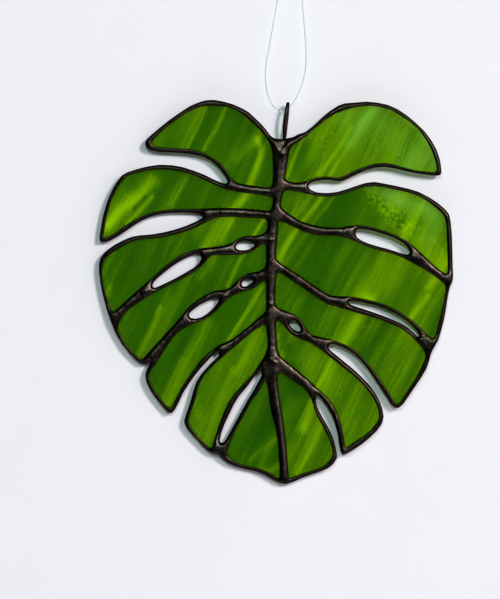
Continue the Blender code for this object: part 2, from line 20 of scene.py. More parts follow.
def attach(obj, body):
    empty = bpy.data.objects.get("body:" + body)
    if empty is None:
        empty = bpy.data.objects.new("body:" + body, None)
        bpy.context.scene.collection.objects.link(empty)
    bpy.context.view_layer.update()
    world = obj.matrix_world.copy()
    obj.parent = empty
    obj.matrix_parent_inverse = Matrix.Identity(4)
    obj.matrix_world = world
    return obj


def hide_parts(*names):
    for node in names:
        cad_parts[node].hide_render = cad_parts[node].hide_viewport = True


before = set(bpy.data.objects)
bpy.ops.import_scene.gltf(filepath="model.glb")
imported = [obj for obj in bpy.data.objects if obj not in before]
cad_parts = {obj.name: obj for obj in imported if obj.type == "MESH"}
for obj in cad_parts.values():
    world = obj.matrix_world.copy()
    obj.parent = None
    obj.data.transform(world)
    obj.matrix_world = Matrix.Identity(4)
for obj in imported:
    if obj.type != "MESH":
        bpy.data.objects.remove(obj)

LOG = logging.getLogger("leaf")
MILLIMETRE = 0.001
# The pattern's unit in metres, and where the pin that the leaf hangs from stands on the pattern.
UNIT = 0.5 * MILLIMETRE
PIN = np.array([290.0, -78.0])
# What a divisor is at least, and the area below which a triangle is none, in square metres.
TINY, NO_AREA = 1e-18, 1e-14

Colour = tuple[float, float, float]
Path = tuple[tuple[float, float], ...]

# The clear line's way on the pattern, from the knot up over the pin and down to the eye.
LINE_ROUTE = (
    (276.6, 109.2), (273.0, 105.6), (269.2, 98.2), (266.6, 88.5), (265.5, 77.0), (266.6, 62.0),
    (270.2, 42.0), (274.0, 21.0), (277.4, 0.0), (280.3, -22.0), (282.9, -46.0), (284.6, -65.0),
    (287.0, -74.6), (290.0, -77.3), (293.2, -74.6), (296.0, -65.0), (298.6, -44.0), (300.6, -22.0),
    (302.2, 0.0), (304.0, 20.0), (305.5, 38.0), (306.3, 54.0), (305.4, 70.0), (302.6, 83.0),
    (298.4, 93.8), (294.0, 102.2), (290.0, 107.1), (286.4, 109.2), (282.7, 110.0),
)

# Outline of the whole leaf on the pattern: x to the right and y down, round the left side first.
OUTLINE = (
    (290, 137.8), (283, 139.2), (277, 139), (272.5, 137.5), (269.5, 134.5), (266, 129.5),
    (261, 123.8), (255, 118), (249, 112.3), (242, 108.3), (233, 104.3), (224, 101.7),
    (214, 99.9), (206, 100.2), (198, 102.5), (190, 106), (180, 112.5), (170, 119.5),
    (160, 127.5), (151, 135.2), (146, 140), (144.7, 143.5), (145.8, 147.3), (150, 149.9),
    (158, 151.8), (170, 152.5), (182, 153.2), (193, 154.4), (202, 156.5), (210, 160),
    (217, 165.3), (223, 172.5), (227.3, 179), (228, 182), (226.3, 183.8), (222, 183),
    (214, 179.7), (204, 174.7), (194, 170.9), (183, 167.3), (172, 165.3), (160, 164.8),
    (149, 166.2), (138, 168.8), (128, 172), (121.9, 175.2), (116.8, 182), (112.5, 189),
    (108.8, 197), (105.3, 207), (102.6, 217), (100.6, 228), (99.3, 237), (99.3, 241),
    (102, 242.3), (107.5, 241.5), (114, 238.6), (122, 233.8), (131, 227.5), (140, 221.5),
    (149, 217.2), (158, 214.6), (168, 213), (180, 212.6), (192, 212.9), (200.5, 213.5),
    (203.3, 215.5), (202.3, 218.3), (196, 221.6), (186, 226), (174, 230), (162, 232.9),
    (150, 234.8), (139, 235.6), (131, 237.1), (122, 240.9), (113, 245.9), (105.5, 251.5),
    (100.5, 257.5), (98.7, 264), (98.7, 272), (100.3, 284), (103, 297), (106.5, 309.5),
    (110.5, 321.5), (115.5, 333.5), (122, 344.5), (129.5, 354), (137, 361.2), (141.5, 364.5),
    (145, 364.5), (150.3, 360.7), (149.8, 363), (146.8, 369), (145, 375.5), (146, 382),
    (150, 390), (156, 399), (162.5, 407), (168.5, 413.3), (171.5, 414), (175, 410),
    (179.3, 401.5), (183.5, 392.5), (189, 384), (195, 375.6), (201, 368.2), (208, 360.6),
    (214, 354.3), (217, 351.4), (219.6, 352.6), (219, 356.2), (213, 361.5), (207, 368),
    (201, 374.8), (196.5, 382), (193.3, 391), (191, 399.5), (188, 409), (185.5, 416.5),
    (183.9, 422), (186, 427.5), (191, 434), (197.5, 441), (204, 448), (209.5, 452.7),
    (214, 454.5), (217.5, 454.5), (221.5, 458.7), (227.5, 463.3), (235, 466.8), (245, 469.4),
    (255, 471.6), (264, 475), (272, 479.5), (279, 483.3), (286, 484.6), (292, 482.9),
    (300, 479.3), (310, 475.4), (320, 472.2), (328, 469), (333, 465), (336.5, 460),
    (337.3, 456), (336, 449), (334, 440.5), (330.5, 432), (326, 423.5), (321, 415),
    (317.5, 407.5), (315.6, 400.5), (315.3, 396.5), (317.3, 395), (321, 398.5), (326.5, 406),
    (331.5, 414.5), (335, 424), (337.8, 434), (339, 444), (340.7, 452.5), (343, 455.2),
    (347, 454.3), (354, 450.2), (362, 444.8), (370, 438.3), (377, 431.5), (382, 424.3),
    (383.9, 417), (382.8, 410), (380, 402), (375.5, 393.5), (370, 386), (363, 378.5),
    (355, 370.8), (346, 363.4), (337, 356), (330.5, 350.8), (328, 347.7), (329.3, 345),
    (333, 344.2), (339, 346), (347, 349.8), (354, 354.3), (361, 361), (368, 369.2),
    (374, 378), (380, 387), (385.5, 395.5), (390.5, 404), (395, 408.3), (399, 408.5),
    (403.5, 404.5), (409, 396.5), (415, 387.5), (421, 378.7), (426.5, 369.5), (429.5, 361),
    (431, 354.5), (434, 348.5), (438.3, 341), (441, 332.5), (444, 321), (446.3, 309),
    (448, 297), (450, 287.5), (452.8, 281.5), (453.5, 276), (452.9, 265), (452.6, 250),
    (452.2, 236), (451, 222), (449.5, 214.5), (445.5, 209.5), (438, 203), (429, 197.2),
    (419, 192), (408, 188.7), (396, 186), (385, 183.8), (375, 182), (366, 183),
    (357, 185.8), (347, 189.3), (337, 192.2), (327, 193.3), (317, 192.6), (310.5, 190),
    (308, 186.3), (309.5, 183.5), (315, 181.3), (321, 180.1), (328, 179.9), (335, 180.8),
    (341, 181.5), (348, 178.6), (357, 174), (367, 169.9), (376, 167.5), (385, 166.9),
    (395, 168.6), (406, 171.5), (418, 173.8), (430, 175.2), (438, 176), (441.5, 174.5),
    (441.7, 169.5), (440.3, 160), (437, 150), (432, 141), (425, 131.5), (416, 122.8),
    (407, 115.3), (398, 109.3), (388, 104.8), (377, 102.5), (366, 101.6), (355, 102.6),
    (345, 103.3), (338, 105.8), (330, 111), (321, 118.7), (313, 126.5), (305, 132.3),
    (298, 134.4), (294, 136.8),
)

# The eight openings right through the leaf.
HOLES = (
    (
        (235.4, 247), (236.5, 249.3), (240, 250.5), (245, 250.5), (250, 249.3), (253.7, 246.7),
        (255.2, 244.3), (253.5, 241.8), (249, 240.8), (243.5, 240.9), (238.5, 242.3),
    ),
    (
        (152.2, 287), (154.5, 288.2), (160, 286), (167, 282.6), (174, 279.2), (181, 275.5),
        (188, 271.3), (194.5, 267.5), (199, 263.3), (201.6, 258), (200, 253.7), (195.5, 254),
        (188, 257), (180, 261.2), (172, 266.7), (164, 272.8), (157, 278.8), (153, 283),
    ),
    (
        (241.2, 284.5), (242.3, 286.5), (245, 287), (248, 285.8), (251.5, 283.2),
        (253.5, 280.5), (252.5, 278.3), (249.5, 278), (245.5, 279.5), (242.3, 281.7),
    ),
    (
        (188.5, 315), (190.3, 318.2), (195, 319.1), (201, 317.7), (207, 314.2), (212.5, 309.7),
        (216.5, 304.8), (219, 300.2), (218.3, 297.4), (214.5, 297.8), (208, 300.8),
        (201, 304.2), (194.5, 308.8), (190, 312.8),
    ),
    (
        (260.3, 369.9), (262, 372.3), (261.5, 376), (258, 383), (253.5, 391), (248, 400),
        (242.5, 410), (237, 420), (231.3, 430.3), (226.5, 439), (223.8, 443), (221, 443.6),
        (219.6, 441), (221, 434), (224.3, 424.8), (229, 415), (234, 404.5), (239.5, 396),
        (246, 388.5), (252.5, 379.8), (257.5, 373),
    ),
    (
        (355.3, 232.5), (357, 237.5), (361.5, 240.7), (369, 243.9), (378, 246.6), (387, 248.9),
        (396, 251.7), (403, 254.1), (408, 255), (410.4, 252.7), (409, 249), (404.5, 244),
        (398, 240), (390, 236.4), (381, 233.4), (372, 230.8), (363, 229), (357.3, 229),
    ),
    (
        (348, 302.7), (351, 305.2), (358, 307.6), (366, 310.1), (374, 312.8), (383, 316),
        (392, 319.6), (401, 323.8), (408.5, 328.5), (414, 333.7), (418, 337.4), (420.2, 336),
        (417, 331), (411, 324.7), (403, 318.3), (394, 313), (385, 308.6), (376, 305.4),
        (367, 303.5), (358, 301.6), (351, 300.8),
    ),
    (
        (289, 323.3), (290.5, 326.5), (294, 330), (298, 332.1), (300.8, 331), (300.6, 327.7),
        (298.5, 323.7), (295.5, 320.7), (291.7, 320),
    ),
)

# What shows of each pane inside the solder, from the top lobe down on each side of the midrib.
WINDOWS = {
    "left_1": (
        (151.5, 142.5), (152.8, 145.7), (158, 147.2), (168, 148), (180, 148.6), (192, 149.8),
        (201, 152), (209, 156), (216, 160), (222, 164.8), (227, 171.5), (231, 178), (235, 182),
        (241, 184), (250, 185.5), (260, 187), (269, 188), (272.3, 186), (273.2, 178),
        (273.2, 165), (272.5, 153), (270.5, 144.5), (266, 137), (259, 129), (251, 121.5),
        (243, 114.5), (235, 109.8), (226, 106.8), (214, 105.9), (203, 106.3), (194, 109),
        (184, 114.5), (174, 121.5), (164, 129.5), (156, 136.8),
    ),
    "left_2": (
        (127, 176.3), (121, 182.7), (116, 190.7), (111.5, 200), (108.3, 210), (106, 220),
        (104.3, 230), (103, 236.5), (104.5, 238.4), (109.5, 236.5), (117, 232), (126, 225.3),
        (135, 219.5), (144, 215.6), (153, 212.5), (162, 210.6), (172, 209.5), (185, 209.1),
        (200, 209), (215, 208.3), (230, 208.2), (245, 208.9), (258, 210), (268.5, 211.2),
        (271.3, 209.5), (272.8, 203), (273.7, 199), (271.5, 197), (262, 195), (250, 193.7),
        (238, 192), (227, 189.8), (216, 185.5), (206, 180.8), (195, 175.6), (184, 172.3),
        (172, 170.2), (160, 169.5), (148, 170.7), (136, 173.2),
    ),
    "left_3": (
        (105, 259), (102.6, 265), (102, 273), (103.3, 283), (105.5, 293), (108.3, 303),
        (111, 310), (113.5, 312.3), (117.5, 309), (124, 303), (132, 295.7), (140, 288.6),
        (148, 281.7), (156, 274.3), (164, 267.3), (172, 261), (180, 256), (188, 252.2),
        (197, 249.2), (208, 247.8), (219, 246.8), (227, 245.2), (234, 241.8), (240, 238),
        (246, 236), (252, 236.1), (259, 235.7), (264.5, 233.5), (267, 229.5), (267.9, 223.5),
        (266.5, 219.3), (261, 218.1), (248, 217.9), (236, 217), (225, 216.9), (215, 218.2),
        (206, 222.5), (196, 227.6), (186, 231.6), (174, 235), (162, 237.9), (150, 239),
        (138, 240), (129, 243.2), (119, 248.6), (110.5, 254),
    ),
    "left_4": (
        (117.2, 328.5), (120.5, 335.7), (125.3, 344), (130.7, 350.8), (136.5, 356.4),
        (141.5, 360.4), (145, 356.9), (151, 350), (158, 342.4), (165, 334.7), (172, 327.3),
        (179, 319.2), (185, 311.7), (191, 305), (198, 300), (206, 294.8), (214, 291.3),
        (222, 290.3), (228, 289.3), (232.5, 285.7), (238, 280.3), (244, 275.7), (250, 273),
        (256, 272.2), (261, 270.9), (265, 267.5), (266.3, 262), (266.3, 252), (266, 245),
        (264, 243.6), (259, 246.5), (253.7, 250.9), (248.4, 253.4), (240, 254.9), (228, 255.1),
        (216, 255.2), (210.5, 256.3), (206.5, 261), (201.5, 266.4), (195, 271.7), (187, 276.6),
        (178, 281), (168, 286), (158, 290.8), (148, 296.5), (139, 302), (130, 308.8),
        (123.5, 315), (119.5, 321.5),
    ),
    "left_5": (
        (148.4, 376.5), (150.5, 383), (155, 391.2), (160.5, 399.2), (166, 405.5),
        (170.3, 408.7), (173, 405), (176.5, 397.5), (181, 389), (186.5, 380.5), (193, 371),
        (199.5, 362), (206, 355.3), (213, 349.8), (219, 345.3), (226, 342.6), (232, 339.5),
        (240, 333.5), (248, 327.2), (256, 320.2), (263, 314.3), (266, 311.5), (266.4, 303),
        (266.4, 290), (266.2, 280.8), (264.5, 280), (260, 284), (254.5, 288.2), (247, 290.8),
        (239, 293), (232, 296.3), (226.5, 300), (222, 305), (217.5, 310), (212, 315),
        (204, 320), (195, 323.5), (186, 327.3), (179, 332), (173, 338), (167.5, 345.7),
        (162.5, 353.5), (157, 362.3), (151.5, 370),
    ),
    "left_6": (
        (200.3, 382.5), (198, 389), (196, 397), (193.5, 405), (190.5, 413.5), (188, 421),
        (190.8, 427.3), (195.3, 433.7), (200.5, 440), (206, 445.3), (210.7, 448.8),
        (213, 446.5), (214.5, 440), (217, 431), (220.3, 421.5), (224.2, 411.5), (229, 402),
        (234.5, 394), (240.5, 387.5), (247, 380.5), (253.5, 373.2), (259, 365), (264, 357.5),
        (267, 350.5), (268, 343), (267.3, 334), (266, 325.5), (264.3, 324.3), (258, 328.3),
        (250, 334), (242, 341), (234, 347.8), (226, 354.5), (218, 361.3), (210.5, 368.5),
        (204.5, 375.5),
    ),
    "left_7": (
        (256.5, 395), (252, 401), (247.5, 409), (243, 417.5), (238, 426.3), (233.5, 435),
        (229.8, 443.5), (227, 452), (228.5, 456.5), (233.5, 461), (241, 465), (250, 467),
        (259, 468.7), (267, 472), (274, 476), (279.3, 479.2), (280, 474), (279.5, 464),
        (278.9, 452), (278, 441), (276.3, 430), (273.5, 420), (271, 410), (269.5, 400),
        (268.5, 390), (267, 383), (265, 379.7), (262, 386),
    ),
    "right_1": (
        (285.3, 179), (287.5, 181.4), (295, 182.7), (302, 182.6), (309, 180.3), (316, 177.9),
        (324, 176.7), (331, 177.2), (338, 178.2), (345, 175.8), (354, 171), (364, 167.1),
        (374, 164.1), (384, 163.1), (393, 164.5), (403, 167.4), (415, 170.4), (427, 171.9),
        (434.7, 172.6), (437.3, 170.5), (436.7, 165.5), (434.8, 158.5), (431.3, 149),
        (426, 139.5), (419, 130), (410, 122), (401, 116), (392, 110.5), (381, 107.2),
        (369, 105.8), (357, 107), (345, 110), (335, 114), (325, 120.5), (315, 128.5),
        (306, 136.5), (299.5, 141.5), (293, 145), (289.7, 150.5), (287.8, 160), (286.3, 170),
    ),
    "right_2": (
        (283.3, 192), (281.5, 200), (280.6, 206), (284, 210.5), (291, 215.7), (300, 221),
        (310, 224.5), (320, 226.8), (330, 227.9), (340, 227.8), (349, 226.2), (358, 225.3),
        (367, 226.3), (377, 228.9), (388, 232.4), (398, 236.4), (407, 241.4), (415, 247.7),
        (423, 255), (431, 262.8), (439, 269.8), (446, 274.5), (448, 273), (448, 262),
        (447.6, 248), (447.2, 235), (446.4, 223), (444, 215), (437, 208.5), (428, 201.7),
        (418, 195.8), (407, 192.4), (395, 189.8), (384, 187.2), (374, 186.1), (364, 187.1),
        (354, 190.5), (344, 193.9), (334, 196.5), (325, 197), (315, 195.7), (305, 193.2),
        (294, 191.2), (286, 190.2),
    ),
    "right_3": (
        (278.8, 221), (277.7, 230), (276.9, 240), (276.2, 250), (276, 258.5), (279.5, 262.8),
        (287, 267.8), (295, 272.7), (304, 279), (313, 285.3), (322, 291.3), (329, 295.3),
        (337, 296.5), (346, 296.6), (355, 297.4), (364, 299.1), (374, 301.5), (384, 304.4),
        (394, 308.9), (403, 314.1), (412, 320.4), (420, 327.7), (427, 335), (432.5, 339.2),
        (435.3, 336.5), (438.5, 325.5), (441.5, 313), (444, 301), (445.8, 290), (445.7, 285),
        (441, 281), (433, 274.8), (424, 269), (414, 263.6), (404, 258.2), (394, 254.6),
        (383, 251.4), (372, 248.8), (362, 244.6), (353, 240.4), (345, 237.3), (335, 235.8),
        (324, 235.8), (313, 234.5), (303, 231.5), (293, 226.6), (284, 222),
    ),
    "right_4": (
        (276.8, 273.5), (275.8, 284), (275.2, 295), (275.3, 304.5), (278.5, 308.8),
        (286, 311.3), (294, 314.8), (300, 319.3), (304.2, 325.3), (307.5, 331.3), (312, 335.2),
        (320, 337.3), (329, 339.3), (338, 342), (347, 345.8), (355, 350.7), (362.5, 357.5),
        (370, 366.1), (376, 374), (382, 382.3), (387.5, 390.5), (392.3, 399), (396, 404.6),
        (399.3, 403.5), (405, 395.5), (411, 386), (417, 376.5), (422, 367.3), (425, 359.8),
        (425.7, 355), (423.5, 349.3), (417.5, 342.5), (410, 335), (401, 328.5), (391, 323.8),
        (380, 319.7), (369, 316.3), (357, 313), (346, 309.6), (337, 306.6), (328, 304.5),
        (320, 299.7), (311, 293.4), (302, 287.2), (293, 281.3), (284, 275.2), (279, 272.5),
    ),
    "right_5": (
        (276, 321.5), (276.3, 331), (277, 341), (277.5, 349), (280, 356), (286, 361.7),
        (293, 367), (300, 372.8), (307, 378.8), (313, 384.3), (318, 389), (323.5, 393.8),
        (328.8, 399.3), (333.3, 405.7), (337.3, 413), (340.3, 421), (342.3, 429),
        (343.6, 437), (344.4, 444.5), (345.7, 448.6), (349.5, 445.7), (356, 441.3),
        (364, 436.2), (371, 430.2), (376.5, 423.7), (379.3, 418), (378.8, 411), (376, 403.3),
        (371, 394.5), (365.5, 387.5), (359, 380.7), (351, 373.8), (342, 366.7), (333, 359.4),
        (325, 353), (317, 347.2), (309, 342.3), (300, 338.8), (293, 335.5), (288, 330.8),
        (283.5, 324.8), (279.5, 321),
    ),
    "right_6": (
        (277.6, 374), (277.8, 384), (278.7, 394), (280.3, 404), (282.2, 414), (283.8, 424),
        (285, 434), (286.2, 445), (287.3, 457), (288, 468), (289, 478.3), (291, 478.6),
        (297, 475.8), (305, 473.2), (314, 470.3), (322, 467.3), (327.5, 463.5),
        (331.5, 458.5), (333.2, 454.5), (332, 447.5), (329, 438.5), (325, 430),
        (320.5, 422.5), (316.5, 415), (313.8, 407.5), (311.8, 400), (308, 393), (303, 387.5),
        (296, 382.7), (289, 377.8), (282.5, 373.3),
    ),
}


def to_metres(points: object) -> np.ndarray:
    """Places pattern points, as X and Z in metres from the pin.

    X is the run to the right of the pin and Z the height above it, each times the unit.

    Args:
        points: Pairs of x and y on the pattern, with y down.

    Returns:
        An array of X and Z, one row a point.
    """
    flat = np.asarray(points, float)
    return np.column_stack([flat[:, 0] - PIN[0], PIN[1] - flat[:, 1]]) * UNIT


def lengths_along(path: np.ndarray) -> np.ndarray:
    """Gives the length up to each point of a path, as the running sum of its sides."""
    return np.append(0.0, np.cumsum(np.linalg.norm(np.diff(path, axis=0), axis=1)))


def read_off(path: np.ndarray, lengths: np.ndarray, at: np.ndarray) -> np.ndarray:
    """Reads places off a path, on the straight sides between its points.

    Args:
        path: The path's points, one row each.
        lengths: The length up to each of them.
        at: The lengths whose places are wanted.

    Returns:
        One row a place.
    """
    return np.column_stack([np.interp(at, lengths, column) for column in path.T])


def stepped(loop: np.ndarray, step: float) -> np.ndarray:
    """Walks a closed loop in equal steps.

    Args:
        loop: The loop's points, one row each.
        step: About how far apart the new points are, in metres.

    Returns:
        The new points, without the first again at the end.
    """
    fewest = 6
    path = np.vstack([loop, loop[:1]])
    lengths = lengths_along(path)
    count = max(fewest, int(round(lengths[-1] / step)))
    return read_off(path, lengths, np.linspace(0.0, lengths[-1], count + 1)[:-1])


def crossed(first: np.ndarray, second: np.ndarray) -> np.ndarray:
    """Gives the cross product of flat vectors, twice the signed area between each pair."""
    return first[:, 0] * second[:, 1] - first[:, 1] * second[:, 0]


def rounded_loop(points: Path, step: float, reach: float) -> np.ndarray:
    """Draws a closed pattern line with its corners softened.

    The loop is walked in fine steps, then each point is replaced by the average of itself and its
    neighbours, weighted 1-2-1, as many times as gives a blur of the stated reach.

    Args:
        points: The pattern points round the loop.
        step: How far apart the returned points are, in metres.
        reach: How far the softening reaches, in metres.

    Returns:
        X and Z round the loop, anticlockwise as seen from the front.
    """
    fine = 0.0002
    loop = stepped(to_metres(points), fine)
    for _ in range(int(round(2.0 * (reach / fine) ** 2))):
        loop = (np.roll(loop, 1, axis=0) + 2.0 * loop + np.roll(loop, -1, axis=0)) / 4.0
    loop = stepped(loop, step)
    area = crossed(loop, np.roll(loop, -1, axis=0)).sum()
    return loop if area > 0 else loop[::-1].copy()


def offset(loop: np.ndarray, distance: float) -> np.ndarray:
    """Moves a closed loop outwards.

    Each point moves along the mean of its two sides' normals, by the distance over the cosine of
    half the turn, so the sides keep their spacing. The sharpest corners move less.

    Args:
        loop: X and Z round the loop, anticlockwise.
        distance: How far outwards, in metres; negative is inwards.

    Returns:
        The moved loop.
    """
    least_spread = 0.6
    run = np.roll(loop, -1, axis=0) - loop
    normal = np.column_stack([run[:, 1], -run[:, 0]]) / np.linalg.norm(run, axis=1)[:, None]
    before = np.roll(normal, 1, axis=0)
    spread = np.maximum(1.0 + (normal * before).sum(axis=1), least_spread)
    return loop + distance * (normal + before) / spread[:, None]


def bands(points: np.ndarray) -> list[np.ndarray]:
    """Sorts points into bands of height with some 400 each, as arrays of their numbers."""
    return np.array_split(np.argsort(points[:, 1]), max(1, len(points) // 400))


def from_sides(points: np.ndarray, start: np.ndarray, run: np.ndarray) -> np.ndarray:
    """Measures how far each point is from the nearest of some straight sides.

    The nearest place on a side is the point's projection, kept between the side's ends.

    Args:
        points: X and Z of the points.
        start: Where each side starts.
        run: The way from there to where it ends.

    Returns:
        One distance a point, in metres.
    """
    away = points[:, None] - start
    size = np.maximum((run**2).sum(axis=1), TINY)
    share = np.clip((away * run).sum(axis=2) / size, 0.0, 1.0)
    miss = away - share[:, :, None] * run
    return np.sqrt((miss**2).sum(axis=2).min(axis=1))


def distance_to(points: np.ndarray, loops: list[np.ndarray], reach: float = 0.006) -> np.ndarray:
    """Measures how far each point is from the nearest of some closed lines.

    Each band of points is measured against the sides that come within the reach of it.

    Args:
        points: X and Z of the points.
        loops: The closed lines.
        reach: The longest distance that is measured, in metres.

    Returns:
        One distance a point, in metres.
    """
    start = np.vstack(loops)
    run = np.vstack([np.roll(loop, -1, axis=0) for loop in loops]) - start
    nearest = np.full(len(points), reach)
    for part in bands(points):
        low, high = points[part, 1].min() - reach, points[part, 1].max() + reach
        near = (start[:, 1] > low) & (start[:, 1] < high)
        if near.any():
            away = from_sides(points[part], start[near], run[near])
            nearest[part] = np.minimum(away, reach)
    return nearest


def inside(points: np.ndarray, loops: list[np.ndarray]) -> np.ndarray:
    """Tells which points some closed lines enclose an odd number of times.

    A ray to the right of the point is counted across every side, and an odd count is inside.
    Each band of points is counted against the sides that cross it.

    Args:
        points: X and Z of the points.
        loops: The closed lines.

    Returns:
        One truth value a point.
    """
    start = np.vstack(loops)
    end = np.vstack([np.roll(loop, -1, axis=0) for loop in loops])
    rise = np.where(end[:, 1] == start[:, 1], TINY, end[:, 1] - start[:, 1])
    low, high = np.minimum(start[:, 1], end[:, 1]), np.maximum(start[:, 1], end[:, 1])
    result = np.zeros(len(points), bool)
    for part in bands(points):
        x, z = points[part, 0, None], points[part, 1, None]
        near = (low <= z.max()) & (high >= z.min())
        a, b = start[None, near], end[None, near]
        between = (a[:, :, 1] > z) != (b[:, :, 1] > z)
        at = a[:, :, 0] + (z - a[:, :, 1]) * (b - a)[:, :, 0] / rise[near]
        result[part] = (between & (x < at)).sum(axis=1) % 2 == 1
    return result


def value_noise(points: np.ndarray, cell: float, seed: int) -> np.ndarray:
    """Gives a smooth random height at each point.

    Random numbers stand on a square lattice that repeats, and between them the height follows the
    smooth step 3t^2 - 2t^3 both ways.

    Args:
        points: X and Z of the points.
        cell: The lattice spacing, in metres.
        seed: What the random numbers start from.

    Returns:
        Heights from -1 to 1.
    """
    side, shift = 128, 640.0
    lattice = np.random.default_rng(seed).uniform(-1.0, 1.0, (side, side))
    at = points / cell + shift
    low = np.floor(at).astype(int)
    t = at - low
    t = t * t * (3.0 - 2.0 * t)
    i, j = low.T % side
    k, m = (i + 1) % side, (j + 1) % side
    left = lattice[i, j] * (1.0 - t[:, 1]) + lattice[i, m] * t[:, 1]
    right = lattice[k, j] * (1.0 - t[:, 1]) + lattice[k, m] * t[:, 1]
    return left * (1.0 - t[:, 0]) + right * t[:, 0]


def waves(points: np.ndarray, sizes: tuple[tuple[float, float], ...], seed: int,
          base: float = 0.0) -> np.ndarray:
    """Adds up smooth random heights of several sizes.

    Args:
        points: X and Z of the points.
        sizes: The greatest height and the lattice spacing of each.
        seed: What the first one's random numbers start from; each next seed is one more.
        base: What they are added to.

    Returns:
        One sum a point.
    """
    return sum((height * value_noise(points, cell, seed + number)
                for number, (height, cell) in enumerate(sizes)), base)


@dataclass
class Sheet:
    """A flat region filled with triangles: its points, its triangles, the points on its edges."""

    points: np.ndarray
    triangles: np.ndarray
    loops: list[np.ndarray]

    @classmethod
    def filled(cls, loops: list[np.ndarray], rows: tuple[float, ...], cell: float) -> "Sheet":
        """Fills a region with even triangles that follow its edges.

        Rows of points run along every edge at the stated distances, and a lattice of triangles
        fills what is left. A constrained Delaunay triangulation joins them, in millimetres, and a
        triangle is kept if its middle is inside.

        Args:
            loops: The closed edges of the region, outer ones and holes alike.
            rows: How far in from the edges the rows run, in metres.
            cell: The lattice spacing, in metres.

        Returns:
            The filled region.
        """
        per_metre, tolerance, cells_off = 1000.0, 1e-6, 0.62
        margin = (rows[-1] if rows else 0.0) + cell * cells_off
        points = np.vstack([*loops, cls.rows_within(loops, rows, cell),
                            cls.lattice_within(loops, margin, cell)])
        start = np.cumsum([0] + [len(loop) for loop in loops])
        bounds = [np.arange(first, last) for first, last in zip(start, start[1:])]
        sides = np.vstack([np.column_stack([line, np.roll(line, -1)]) for line in bounds])
        made = delaunay_2d_cdt([Vector(point) for point in points * per_metre], sides.tolist(),
                               [], 0, tolerance, True)
        out = np.array([tuple(point) for point in made[0]]) / per_metre
        triangles = np.array([face for face in made[2] if len(face) == 3])
        place = np.full(len(points), -1)
        place[np.fromiter(chain.from_iterable(made[3]), int)] = np.repeat(
            np.arange(len(out)), [len(old) for old in made[3]])
        triangles = triangles[inside(out[triangles].mean(axis=1), loops)]
        a, b, c = (out[triangles[:, corner]] for corner in range(3))
        turn = crossed(b - a, c - a)
        triangles[turn < 0] = triangles[turn < 0][:, ::-1]
        return cls(out, triangles[np.abs(turn) > NO_AREA], [place[line] for line in bounds])

    @staticmethod
    def rows_within(loops: list[np.ndarray], rows: tuple[float, ...], cell: float) -> np.ndarray:
        """Runs rows of points along every edge, on the side of it that is inside.

        A point is dropped where another edge is nearer than its row's depth, and one point is
        kept of each small square, so that rows that meet don't crowd.

        Args:
            loops: The closed edges of the region.
            rows: How far in from the edges the rows run, in metres.
            cell: The lattice spacing, in metres.

        Returns:
            X and Z of the rows' points.
        """
        if not rows:
            return np.empty((0, 2))
        true_share, square_share = 0.93, 0.55
        lines = [offset(loop, side) for depth in rows for loop in loops
                 for side in (-depth, depth)]
        points = np.vstack(lines)
        depths = np.repeat(np.repeat(rows, 2 * len(loops)), [len(line) for line in lines])
        points = points[(distance_to(points, loops) > depths * true_share)
                        & inside(points, loops)]
        square = np.floor(points / (cell * square_share)).astype(np.int64)
        _, first = np.unique(square, axis=0, return_index=True)
        return points[np.sort(first)]

    @staticmethod
    def lattice_within(loops: list[np.ndarray], margin: float, cell: float) -> np.ndarray:
        """Spreads points over the region, each as far from its six neighbours.

        Rows stand the cell times the root of three quarters apart, and every second one is moved
        half a cell to the right.

        Args:
            loops: The closed edges of the region.
            margin: How far the points keep from the edges, in metres.
            cell: How far apart neighbours stand, in metres.

        Returns:
            X and Z of the points.
        """
        edge = np.vstack(loops)
        low, high = edge.min(axis=0), edge.max(axis=0)
        gx, gz = np.meshgrid(np.arange(low[0], high[0], cell),
                             np.arange(low[1], high[1], cell * math.sqrt(0.75)))
        gx[1::2] += cell / 2
        points = np.column_stack([gx.ravel(), gz.ravel()])
        points = points[inside(points, loops)]
        return points[distance_to(points, loops) > margin]

    def membrane(self) -> np.ndarray:
        """Inflates the region like a film held at its edges.

        The height solves the film's equation, whose curvature is the same everywhere: each
        side's share is half the sum of the cotangents that face it. On a long strip the square
        root of twice the height is the half circle over it. Conjugate gradients solve it.

        Returns:
            The half circle's height at each point, in metres.
        """
        most_rounds, settled, steepest, least = 900, 1e-10, 20, 1e-12
        n = len(self.points)
        i, j, weight, load = [], [], [], np.zeros(n)
        corners = self.points[self.triangles]
        for k in range(3):
            a, b, c = (corners[:, (k + turn) % 3] for turn in range(3))
            across = np.abs(crossed(b - a, c - a))
            i.append(self.triangles[:, (k + 1) % 3])
            j.append(self.triangles[:, (k + 2) % 3])
            weight.append(((b - a) * (c - a)).sum(axis=1) / np.maximum(across, NO_AREA) / 2.0)
            load += np.bincount(self.triangles[:, k], across / 6.0, n)
        i, j = np.concatenate(i), np.concatenate(j)
        weight = np.clip(np.concatenate(weight), 0, steepest)
        free = np.ones(n)
        free[np.concatenate(self.loops)] = 0.0
        diagonal = np.bincount(i, weight, n) + np.bincount(j, weight, n) + least

        def film(x: np.ndarray) -> np.ndarray:
            """Applies the film's equation to heights that are nought at the edges."""
            pull = np.bincount(i, weight * x[j], n) + np.bincount(j, weight * x[i], n)
            return (diagonal * x - pull) * free

        x = np.zeros(n)
        rest = load * free
        z = rest / diagonal
        way, size = z.copy(), rest @ z
        for _ in range(most_rounds):
            moved = film(way)
            step = size / (way @ moved)
            x += step * way
            rest = rest - step * moved
            z = rest / diagonal
            new = rest @ z
            if new < settled * (load @ load):
                break
            way, size = z + way * (new / size), new
        return np.sqrt(2.0 * np.maximum(x, 0.0))


